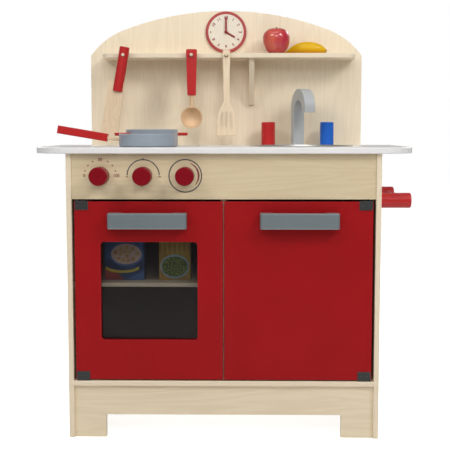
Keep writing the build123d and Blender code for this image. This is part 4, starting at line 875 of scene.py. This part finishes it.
# Geometry node trees for what repeats
def geometry_tree(name, inputs):
    """A geometry tree, its inputs' identifiers by name, its entry and its exit."""
    tree = bpy.data.node_groups.new(name, "GeometryNodeTree")
    tree.is_modifier = True
    tree.interface.new_socket("Geometry", in_out="INPUT", socket_type="NodeSocketGeometry")
    tree.interface.new_socket("Geometry", in_out="OUTPUT", socket_type="NodeSocketGeometry")
    names = {}
    for socket_name, kind, value in inputs:
        socket = tree.interface.new_socket(socket_name, in_out="INPUT", socket_type=kind)
        if value is not None:
            socket.default_value = value
        names[socket_name] = socket.identifier
    return tree, names, add_node(tree, "NodeGroupInput"), add_node(tree, "NodeGroupOutput")


def disc(tree, sides, radius, depth):
    """A round disc about its own middle."""
    node = add_node(tree, "GeometryNodeMeshCylinder")
    node.inputs["Vertices"].default_value = sides
    feed(tree, node.inputs["Radius"], radius)
    feed(tree, node.inputs["Depth"], depth)
    return node.outputs[0]


def in_material(tree, geometry, material):
    """Geometry with a material set on it."""
    node = add_node(tree, "GeometryNodeSetMaterial")
    feed(tree, node.inputs["Geometry"], geometry)
    feed(tree, node.inputs["Material"], material)
    return node.outputs[0]


def real_copies(tree, points, instance, scale=None):
    """A shape copied to every point, and made real."""
    copies = add_node(tree, "GeometryNodeInstanceOnPoints")
    feed(tree, copies.inputs["Points"], points)
    feed(tree, copies.inputs["Instance"], instance)
    if scale is not None:
        feed(tree, copies.inputs["Scale"], scale)
    real = add_node(tree, "GeometryNodeRealizeInstances")
    feed(tree, real.inputs[0], copies.outputs[0])
    return real.outputs[0]


def make_arc_marks_tree():
    """Round marks, evenly spaced on an arc in the XY plane."""
    tree, names, entry, leave = geometry_tree("round_marks_on_arc", (
        ("Count", "NodeSocketInt", 8),
        ("Arc Radius", FLOAT, 0.03),
        ("Start", FLOAT, 0.0),
        ("Step", FLOAT, 0.4),
        ("Mark Radius", FLOAT, 0.0006),
        ("Mark Height", FLOAT, INK),
        ("Material", "NodeSocketMaterial", None),
    ))
    given = entry.outputs
    line = add_node(tree, "GeometryNodeMeshLine")
    feed(tree, line.inputs["Count"], given["Count"])
    index = add_node(tree, "GeometryNodeInputIndex").outputs[0]
    turn = plus(tree, given["Start"], times(tree, index, given["Step"]))
    place = vector_of(
        tree,
        times(tree, given["Arc Radius"], calc(tree, "COSINE", turn)),
        times(tree, given["Arc Radius"], calc(tree, "SINE", turn)),
        times(tree, given["Mark Height"], 0.5),
    )
    points = add_node(tree, "GeometryNodeSetPosition")
    feed(tree, points.inputs["Geometry"], line.outputs[0])
    feed(tree, points.inputs["Position"], place)
    marks = real_copies(tree, points.outputs[0], disc(tree, 16, given["Mark Radius"], given["Mark Height"]))
    feed(tree, leave.inputs[0], in_material(tree, marks, given["Material"]))
    return tree, names


def make_places_tree():
    """A dark cross of painted shade standing for a cross recess, and if wanted a round head below it, at
    every point of the mesh it is on.
    """
    tree, names, entry, leave = geometry_tree("crosses_at_places", (
        ("Cross Length", FLOAT, 0.0042),
        ("Cross Width", FLOAT, 0.0009),
        ("Cross Height", FLOAT, 0.0001),
        ("Head Radius", FLOAT, 0.0),
        ("Head Height", FLOAT, 0.0003),
        ("Cross Material", "NodeSocketMaterial", None),
        ("Head Material", "NodeSocketMaterial", None),
    ))
    given = entry.outputs
    bars = add_node(tree, "GeometryNodeJoinGeometry")
    for length, width in (("Cross Length", "Cross Width"), ("Cross Width", "Cross Length")):
        bar = add_node(tree, "GeometryNodeMeshCube")
        feed(tree, bar.inputs["Size"], vector_of(tree, given[length], given[width], given["Cross Height"]))
        tree.links.new(bar.outputs[0], bars.inputs[0])
    cross = add_node(tree, "GeometryNodeTransform")
    feed(tree, cross.inputs["Geometry"], bars.outputs[0])
    feed(tree, cross.inputs["Translation"], vector_of(tree, 0.0, 0.0, given["Head Height"]))
    dark = in_material(tree, cross.outputs[0], given["Cross Material"])
    head = disc(tree, 24, given["Head Radius"], times(tree, given["Head Height"], 2.0))
    both = add_node(tree, "GeometryNodeJoinGeometry")
    tree.links.new(in_material(tree, head, given["Head Material"]), both.inputs[0])
    tree.links.new(dark, both.inputs[0])
    choice = add_node(tree, "GeometryNodeSwitch", input_type="GEOMETRY")
    feed(tree, choice.inputs["Switch"], calc(tree, "GREATER_THAN", given["Head Radius"], 0.0))
    tree.links.new(dark, choice.inputs["False"])
    tree.links.new(both.outputs[0], choice.inputs["True"])
    feed(tree, leave.inputs[0], real_copies(tree, given["Geometry"], choice.outputs[0]))
    return tree, names


def make_heap_tree():
    """Flattened round pieces spread over a patch, with no two alike in size."""
    tree, names, entry, leave = geometry_tree("heap_of_pieces", (
        ("Spacing", FLOAT, 0.004),
        ("Piece Radius", FLOAT, 0.0022),
        ("Flatness", FLOAT, 0.12),
        ("Seed", "NodeSocketInt", 3),
        ("Material", "NodeSocketMaterial", None),
    ))
    given = entry.outputs
    scatter = add_node(tree, "GeometryNodeDistributePointsOnFaces", distribute_method="POISSON")
    feed(tree, scatter.inputs["Mesh"], given["Geometry"])
    feed(tree, scatter.inputs["Distance Min"], given["Spacing"])
    scatter.inputs["Density Max"].default_value = 400000.0
    feed(tree, scatter.inputs["Seed"], given["Seed"])
    piece = add_node(tree, "GeometryNodeMeshUVSphere")
    piece.inputs["Segments"].default_value = 14
    piece.inputs["Rings"].default_value = 8
    feed(tree, piece.inputs["Radius"], given["Piece Radius"])
    scale = add_node(tree, "FunctionNodeRandomValue", data_type="FLOAT")
    scale.inputs[2].default_value = 0.80
    scale.inputs[3].default_value = 1.0
    feed(tree, scale.inputs["Seed"], given["Seed"])
    size = vector_of(tree, scale.outputs[1], scale.outputs[1], given["Flatness"])
    pieces = real_copies(tree, scatter.outputs["Points"], piece.outputs[0], size)
    feed(tree, leave.inputs[0], in_material(tree, pieces, given["Material"]))
    return tree, names


ARC_MARKS = make_arc_marks_tree()
CROSSES = make_places_tree()
HEAP = make_heap_tree()


def grown(name, base_mesh, tree_and_names, **values):
    """Run a geometry tree on a mesh, and keep the result as a plain mesh."""
    tree, names = tree_and_names
    holder = bpy.data.objects.new(name + "_places", base_mesh)
    bpy.context.scene.collection.objects.link(holder)
    modifier = holder.modifiers.new("repeat", "NODES")
    modifier.node_group = tree
    for key, value in values.items():
        modifier[names[key.replace("_", " ")]] = value
    return mesh_object(name, evaluated_mesh(name, holder))


def point_mesh(name, points):
    """A mesh of bare points, for a tree to work on."""
    mesh = bpy.data.meshes.new(name)
    mesh.from_pydata(points, [], [])
    return mesh


def patch_mesh(name, outline):
    """One flat face inside an outline."""
    mesh = bpy.data.meshes.new(name)
    mesh.from_pydata([(u, v, 0) for u, v in outline], [], [list(range(len(outline)))])
    return mesh


def ellipse(centre, width, height, start=0.0, end=2 * math.pi, count=40):
    """Points on an ellipse's arc."""
    whole = abs(end - start - 2 * math.pi) < ARC_STEP
    steps = range(count if whole else count + 1)
    turns = [start + (end - start) * step / count for step in steps]
    return [(centre[0] + width / 2 * math.cos(t), centre[1] + height / 2 * math.sin(t)) for t in turns]


def rounded(centre, width, height, radius, count=8):
    """Points round a rectangle with round corners."""
    across, up = width / 2 - radius, height / 2 - radius
    points = []
    for quarter, (side, level) in enumerate(((across, up), (-across, up), (-across, -up), (across, -up))):
        for step in range(count + 1):
            turn = math.radians(90) * (quarter + step / count)
            u, v = side + radius * math.cos(turn), level + radius * math.sin(turn)
            points.append((centre[0] + u, centre[1] + v))
    return points


def frame_band(name, width, height, radius, line, material):
    """A thin line round a rounded rectangle."""
    outer = rounded((0, 0), width, height, radius)
    inner = rounded((0, 0), width - 2 * line, height - 2 * line, radius - line)
    shape = bmesh.new()
    rows = []
    for (a, b), (c, d) in zip(outer, inner):
        rows.append([shape.verts.new(p) for p in ((a, b, 0), (a, b, INK), (c, d, INK), (c, d, 0))])
    skin_rows(shape, rows, closed=True)
    return built(name, shape, material)


def islands(node):
    """The boxes of a CAD node's separate solids."""
    shape = bmesh.new()
    shape.from_mesh(nodes[node].data)
    bmesh.ops.remove_doubles(shape, verts=shape.verts, dist=WELD)
    left, boxes = set(shape.verts), []
    while left:
        queue = [left.pop()]
        found = []
        while queue:
            vert = queue.pop()
            found.append(vert.co.copy())
            for edge in vert.link_edges:
                other = edge.other_vert(vert)
                if other in left:
                    left.remove(other)
                    queue.append(other)
        low = Vector([min(p[i] for p in found) for i in range(3)])
        high = Vector([max(p[i] for p in found) for i in range(3)])
        boxes.append((low, high))
    shape.free()
    return boxes


def middle(box):
    """The centre of a box."""
    return (box[0] + box[1]) / 2


# Marks and trim on the cabinet
def print_knob_scales():
    """A dotted scale, an arc scale and a full circle with a swelling band, each round its knob."""
    dark = printed_ink("dark_ink", INK_DARK)
    red = printed_ink("red_ink", INK_RED)
    deep_red = printed_ink("deep_red_ink", (0.150, 0.010, 0.012, 1))
    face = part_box("control_panel")[0].y
    knobs = [middle(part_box(f"{side}_knob")) for side in ("left", "middle", "right")]
    dotted, arched, circled = [(knob.x, face, knob.z) for knob in knobs]
    for side, start in (("right", math.radians(18)), ("left", math.radians(118))):
        dots = grown(
            f"scale_dots_{side}", point_mesh("dots", []), ARC_MARKS, Count=3, Arc_Radius=SCALE_RADIUS,
            Start=start, Step=SCALE_DOT_STEP, Mark_Radius=SCALE_DOT_RADIUS, Mark_Height=INK, Material=red,
        )
        stand(dots, dotted, "front", "cabinet")
    numbers = []
    for text, turn in (("0", 180), ("50", 90), ("100", 0)):
        number = numeral(f"scale_number_{text}", text, SCALE_NUMBER_HEIGHT, red, bold=SCALE_NUMBER_BOLD)
        number.data.transform(on_circle(SCALE_RADIUS, math.radians(turn)))
        numbers.append(number)
    stand(joined("scale_numbers", numbers, red), dotted, "front", "cabinet")
    arc = arc_band("arc_scale", SCALE_RADIUS + 0.0002, SCALE_LINE, math.radians(2), math.radians(178), dark)
    stand(arc, arched, "front", "cabinet")
    tip = SCALE_RADIUS + 0.0012
    pointer = solid_print("arc_scale_tick", [(-0.0015, tip), (0.0015, tip), (0, tip + 0.0026)], dark)
    stand(pointer, arched, "front", "cabinet")
    ends = []
    for side, length in ((1, 0.0056), (-1, 0.0036)):
        outline = rounded((side * (SCALE_RADIUS + 0.0006), -0.0018), length, 0.0018, 0.0006)
        ends.append(solid_print(f"arc_scale_end_{side + 1}", outline, red))
    stand(joined("arc_scale_ends", ends, red), arched, "front", "cabinet")
    circle = arc_band("circle_scale", SCALE_RADIUS + 0.0004, CIRCLE_LINE, 0, 2 * math.pi, dark)
    stand(circle, circled, "front", "cabinet")
    swell = arc_band(
        "circle_scale_band", SWELL_RADIUS, SWELL_WIDTH, math.radians(-42), math.radians(68), deep_red,
        end_width=SWELL_TIP,
    )
    stand(swell, circled, "front", "cabinet")


def print_clock():
    """Twelve numerals, with their tops outwards, and a dot for each minute."""
    red = printed_ink("clock_ink", (0.240, 0.016, 0.020, 1))
    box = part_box("clock_face")
    place = (middle(box).x, box[0].y, middle(box).z)
    numbers = []
    for hour in range(1, 13):
        turn = math.radians(-30 * hour)
        height = NUMERAL_HEIGHT if hour % 3 == 0 else NUMERAL_HEIGHT * 0.88
        number = numeral(f"hour_{hour}", str(hour), height, red, turn, bold=NUMERAL_BOLD)
        number.data.transform(on_circle(NUMERAL_CIRCLE, math.radians(90) + turn))
        numbers.append(number)
    stand(joined("clock_numerals", numbers, red), place, "front", "cabinet")
    dots = grown(
        "clock_minute_dots", point_mesh("minutes", []), ARC_MARKS, Count=60, Arc_Radius=MINUTE_CIRCLE,
        Start=0.0, Step=math.radians(6), Mark_Radius=MINUTE_DOT_RADIUS, Mark_Height=INK, Material=red,
    )
    stand(dots, place, "front", "cabinet")


def print_hob():
    """Two printed rings below the pan and the pot, inside a rounded frame line."""
    grey = printed_ink("hob_ink", (0.16, 0.16, 0.165, 1))
    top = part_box("worktop")[1].z
    pan, pot = middle(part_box("pan_body")), middle(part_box("pot_body"))
    for name, centre in (("front", pan), ("rear", pot)):
        for size, radius in HOB_RINGS.items():
            ring = arc_band(f"hob_ring_{name}_{size}", radius, HOB_LINE, 0, 2 * math.pi, grey)
            stand(ring, (centre.x, centre.y, top), "top", "cabinet")
    outline = frame_band("hob_frame", *HOB_FRAME, HOB_CORNER, HOB_LINE, grey)
    stand(outline, ((pan.x + pot.x) / 2, (pan.y + pot.y) / 2, top), "top", "cabinet")


def pierce_drain():
    """Round holes in the sink's drain, shown as dark discs of painted shade, and the rim round them."""
    # Dark discs: painted shade where the holes are
    dark = printed_ink("drain_hole_shade", (0.012, 0.012, 0.012, 1))
    steel = nodes["sink_bowl"].data.materials[0]
    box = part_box("sink_bowl")
    centre, floor = middle(box), box[0].z
    rings = [
        grown(
            f"drain_ring_{count}", point_mesh("drain", []), ARC_MARKS, Count=count, Arc_Radius=radius,
            Start=0.0, Step=2 * math.pi / count, Mark_Radius=DRAIN_HOLE_RADIUS, Mark_Height=INK,
            Material=dark,
        )
        for count, radius in DRAIN_RINGS
    ]
    stand(joined("drain_holes", rings, dark), (centre.x, centre.y, floor + 0.0004), "top", "cabinet")
    rim = arc_band(
        "drain_rim", DRAIN_RIM_RADIUS, DRAIN_RIM_WIDTH, 0, 2 * math.pi, steel, height=DRAIN_RIM_HEIGHT
    )
    stand(rim, (centre.x, centre.y, floor + 0.0014), "top", "cabinet")


def cross_screws():
    """Dark crosses of painted shade standing for the recesses on every screw head that shows, and thin heads
    for the screws driven from behind.
    """
    # The crosses' dark colour is painted shade for the recesses
    dark = moulded_plastic("screw_recess_shade", (0.012, 0.012, 0.012, 1))
    plated = nodes["cabinet_screws"].data.materials[0]

    def set_crosses(name, points, place, facing, body, **sizes):
        crosses = grown(
            name, point_mesh("screw_places", points), CROSSES, Cross_Material=dark, Head_Height=FLUSH, **sizes
        )
        stand(crosses, place, facing, body)

    def length_of(box):
        return box[1].y - box[0].y

    sides = {"right": [], "left": [], "back": [], "inside": []}
    for box in islands("cabinet_screws"):
        centre, size = middle(box), box[1] - box[0]
        if size.y > size.x:
            sides["back"].append((-centre.x, centre.z, 0))
        elif box[0].x > 0 and size.x > RAIL_SCREW_LENGTH:
            sides["inside"].append((-centre.y, centre.z, 0))
        elif box[1].x > 0:
            sides["right"].append((centre.y, centre.z, 0))
        else:
            sides["left"].append((-centre.y, centre.z, 0))
    inner, outer = (corner.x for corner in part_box("right_side"))
    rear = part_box("backboard")[1].y
    rests = {
        "right": ((outer, 0, 0), "right", 0.0),
        "left": ((-outer, 0, 0), "left", 0.0),
        "back": ((0, rear, 0), "back", REAR_HEAD_RADIUS),
        "inside": ((inner - RAIL_SCREW_HEAD, 0, 0), "left", 0.0),
    }
    for name, (place, facing, head) in rests.items():
        set_crosses(
            f"screw_crosses_{name}", sides[name], place, facing, "cabinet",
            Head_Material=plated, Head_Radius=head,
        )
    for door in ("left", "right"):
        fittings = f"{door}_door_fittings"
        heads = [middle(box) for box in islands(fittings) if length_of(box) > HANDLE_SCREW_LENGTH]
        points = [(-head.x, head.z, 0) for head in heads]
        place = (0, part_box(fittings)[1].y, 0)
        set_crosses(f"{door}_door_screw_crosses", points, place, "back", f"{door}_door")
    small = [
        box for box in islands("left_door_fittings")
        if PANE_SCREW_LENGTH < length_of(box) < HANDLE_SCREW_LENGTH
    ]
    set_crosses(
        "pane_screw_crosses", [(-middle(box).x, middle(box).z, 0) for box in small],
        (0, max(box[1].y for box in small), 0), "back", "left_door",
        Cross_Length=PANE_CROSS_LENGTH, Cross_Width=PANE_CROSS_WIDTH,
    )
    for knob in ("left_knob", "middle_knob", "right_knob"):
        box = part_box(f"{knob}_screw")
        place = (middle(box).x, box[1].y, middle(box).z)
        set_crosses(f"{knob}_screw_cross", [(0, 0, 0)], place, "back", knob)
    for fitting in ("tap", "hot_valve", "cold_valve"):
        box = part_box(f"{fitting}_screw")
        place = (middle(box).x, middle(box).y, box[0].z)
        set_crosses(f"{fitting}_screw_cross", [(0, 0, 0)], place, "below", fitting)


def stud_hinge_clips():
    """Two small dimples on each hinge clip, where it is pinched onto the door."""
    dark = nodes["left_hinge_clips"].data.materials[0]
    for side in ("left", "right"):
        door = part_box(f"{side}_door_panel")
        for level, box in enumerate(islands(f"{side}_hinge_clips")):
            upper = middle(box).z > middle(door).z
            z = door[1].z - DIMPLE_INSET if upper else door[0].z + DIMPLE_INSET
            dimples = grown(
                f"{side}_clip_dimples_{level}", point_mesh("clip", []), ARC_MARKS, Count=2,
                Arc_Radius=DIMPLE_OFFSET, Start=0.0, Step=math.pi, Mark_Radius=DIMPLE_RADIUS,
                Mark_Height=DIMPLE_HEIGHT, Material=dark,
            )
            stand(dimples, (middle(box).x, box[0].y, z), "front", f"{side}_door")


# Printed fronts of the two food cartons: generic food in each box's own colours
def dress_left_carton():
    """A plate of round biscuits on a navy box, with a yellow ribbon and a red foot."""
    low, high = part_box("left_carton")
    width, height = high.x - low.x, high.z - low.z
    face = (low.x, low.y, low.z)
    inset = 0.0012
    ink = {
        "sky": printed_card("carton_sky_ink", (0.030, 0.105, 0.300, 1), (0.060, 0.170, 0.400, 1)),
        "cream": printed_card("carton_cream_ink", (0.720, 0.560, 0.460, 1), (0.640, 0.440, 0.380, 1)),
        "rim": printed_card("carton_rim_ink", (0.090, 0.200, 0.480, 1), (0.060, 0.140, 0.380, 1)),
        "biscuit": printed_card("biscuit_ink", (0.640, 0.440, 0.180, 1), (0.480, 0.280, 0.100, 1)),
        "yellow": printed_card("carton_yellow_ink", (0.760, 0.640, 0.050, 1), (0.640, 0.480, 0.030, 1)),
        "red": printed_card("carton_red_ink", (0.420, 0.040, 0.035, 1), (0.300, 0.022, 0.022, 1)),
        "label": printed_card("carton_label_ink", (0.420, 0.330, 0.330, 1), (0.330, 0.250, 0.270, 1)),
    }
    plate = (width * 0.55, height * 0.47)
    foot = [(inset, inset), (width * 0.50, inset), (width * 0.24, height * 0.20), (inset, height * 0.24)]
    corner = [(width * 0.56, inset), (width - inset, inset), (width - inset, height * 0.17)]
    sweep = (math.radians(190), math.radians(350))
    ribbon = ellipse((width * 0.45, height * 0.23), width * 0.86, height * 0.20, *sweep)
    ribbon_back = ellipse((width * 0.45, height * 0.26), width * 0.80, height * 0.17, *sweep)
    layers = [
        ("sky", rounded((width * 0.5, height * 0.60), width * 0.94, height * 0.46, 0.003)),
        ("red", foot),
        ("rim", corner),
        ("rim", ellipse(plate, width * 0.86, height * 0.44)),
        ("cream", ellipse(plate, width * 0.76, height * 0.37)),
        ("yellow", ribbon + ribbon_back[::-1]),
        ("label", rounded((width * 0.60, height * 0.86), width * 0.46, height * 0.13, 0.002)),
    ]
    for number, (colour, outline) in enumerate(layers):
        sheet = solid_print(f"left_carton_print_{number}", outline, ink[colour], LAYER * (number + 1))
        stand(sheet, face, "front", "left_carton")
    heap = grown(
        "left_carton_biscuits", patch_mesh("plate", ellipse(plate, width * 0.56, height * 0.23)), HEAP,
        Spacing=0.0086, Piece_Radius=0.0043, Flatness=0.12, Seed=4, Material=ink["biscuit"],
    )
    heap.data.transform(Matrix.Translation((0, 0, LAYER * len(layers))))
    stand(heap, face, "front", "left_carton")


def dress_right_carton():
    """Green peas in a pale dish below golden stripes, with a blank label on a dark band."""
    low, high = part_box("right_carton")
    width, height = high.x - low.x, high.z - low.z
    face = (low.x, low.y, low.z)
    ink = {
        "band": printed_card("carton_band_ink", (0.040, 0.045, 0.060, 1), (0.070, 0.075, 0.090, 1)),
        "label": printed_card("carton_grey_ink", (0.330, 0.330, 0.350, 1), (0.260, 0.260, 0.280, 1)),
        "stripe": printed_card("carton_stripe_ink", (0.700, 0.470, 0.090, 1), (0.600, 0.360, 0.050, 1)),
        "dish": printed_card("carton_dish_ink", (0.420, 0.560, 0.600, 1), (0.260, 0.400, 0.460, 1)),
        "leaf": printed_card("carton_leaf_ink", (0.130, 0.200, 0.040, 1), (0.080, 0.130, 0.030, 1)),
        "pea": printed_card("pea_ink", (0.360, 0.460, 0.090, 1), (0.220, 0.310, 0.050, 1)),
    }
    dish = (width * 0.5, height * 0.26)
    layers = [("band", rounded((width * 0.5, height * 0.86), width * 0.96, height * 0.25, 0.002))]
    layers.append(("label", rounded((width * 0.5, height * 0.80), width * 0.80, height * 0.075, 0.001)))
    for stripe in range(6):
        across = width * (0.11 + 0.156 * stripe)
        layers.append(("stripe", rounded((across, height * 0.60), width * 0.07, height * 0.22, 0.002)))
    layers.append(("dish", ellipse(dish, width * 0.92, height * 0.46)))
    layers.append(("leaf", ellipse(dish, width * 0.82, height * 0.38)))
    for number, (colour, outline) in enumerate(layers):
        above_stripes = max(0, number - len(layers) + 3)
        level = LAYER * (1 + min(number, 2) + above_stripes)
        sheet = solid_print(f"right_carton_print_{number}", outline, ink[colour], level)
        stand(sheet, face, "front", "right_carton")
    heap = grown(
        "right_carton_peas", patch_mesh("dish", ellipse(dish, width * 0.74, height * 0.32)), HEAP,
        Spacing=0.0047, Piece_Radius=0.0023, Flatness=0.24, Seed=11, Material=ink["pea"],
    )
    heap.data.transform(Matrix.Translation((0, 0, LAYER * 5)))
    stand(heap, face, "front", "right_carton")


def fold_carton_flaps():
    """The closing flap on each carton's top."""
    card = printed_card("carton_flap_card", (0.55, 0.50, 0.42, 1), (0.46, 0.41, 0.34, 1))
    for carton in ("left_carton", "right_carton"):
        low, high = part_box(carton)
        outline = rounded((0, 0), (high.x - low.x) * 0.94, (high.y - low.y) * 0.80, 0.004)
        flap = solid_print(f"{carton}_flap", outline, card, FLAP_HEIGHT)
        stand(flap, ((low.x + high.x) / 2, (low.y + high.y) / 2, high.z), "top", carton)


# Light, floor and camera
def add_lamp(name, place, aim, size, power):
    """A rectangular area lamp turned towards a point."""
    lamp = bpy.data.lights.new(name, "AREA")
    lamp.shape = "RECTANGLE"
    lamp.size, lamp.size_y = size
    lamp.energy = power
    holder = bpy.data.objects.new(name, lamp)
    bpy.context.scene.collection.objects.link(holder)
    holder.location = place
    holder.rotation_euler = (Vector(aim) - Vector(place)).to_track_quat("-Z", "Y").to_euler()


def light_the_object():
    """The lamps, and a plain white room that shows white to the camera but lights the object softly."""
    for name, lamp in LAMPS.items():
        add_lamp(name, *lamp)
    world = bpy.data.worlds.new("studio")
    bpy.context.scene.world = world
    world.use_nodes = True
    tree = world.node_tree
    room = tree.nodes["Background"]
    room.inputs["Color"].default_value = (1, 1, 1, 1)
    path = add_node(tree, "ShaderNodeLightPath")
    strength = spread(tree, path.outputs["Is Camera Ray"], 0.0, 1.0, ROOM_LIGHT, 1.0)
    feed(tree, room.inputs["Strength"], strength)


def lay_floor():
    """A white floor that keeps the object's shadow."""
    reach = FLOOR_REACH
    mesh = patch_mesh("floor", [(-reach, -reach), (reach, -reach), (reach, reach), (-reach, reach)])
    floor = mesh_object("floor", mesh)
    material, tree, shader = new_material("floor_white", (0.9, 0.9, 0.9, 1))
    clouds = noise(tree, object_coordinates(tree), 3.0)
    shade = blend_colours(tree, clouds, (0.90, 0.90, 0.90, 1), (0.92, 0.92, 0.92, 1))
    feed(tree, shader.inputs["Base Color"], shade)
    shader.inputs["Roughness"].default_value = 0.8
    path = add_node(tree, "ShaderNodeLightPath")
    shader.inputs["Emission Color"].default_value = (1, 1, 1, 1)
    feed(tree, shader.inputs["Emission Strength"], times(tree, path.outputs["Is Camera Ray"], FLOOR_GLOW))
    mesh.materials.append(material)


def set_camera():
    """The camera that took the photograph's view, and plain view settings."""
    camera = bpy.data.cameras.new("camera")
    camera.lens = LENS
    camera.sensor_width = SENSOR
    holder = bpy.data.objects.new("camera", camera)
    bpy.context.scene.collection.objects.link(holder)
    holder.location = CAMERA_PLACE
    holder.rotation_euler = (math.radians(90) - CAMERA_PITCH, 0, CAMERA_YAW)
    bpy.context.scene.camera = holder
    bpy.context.scene.view_settings.view_transform = "Standard"


dress_cad_nodes()
print_knob_scales()
print_clock()
print_hob()
pierce_drain()
cross_screws()
stud_hinge_clips()
dress_left_carton()
dress_right_carton()
fold_carton_flaps()
light_the_object()
lay_floor()
set_camera()
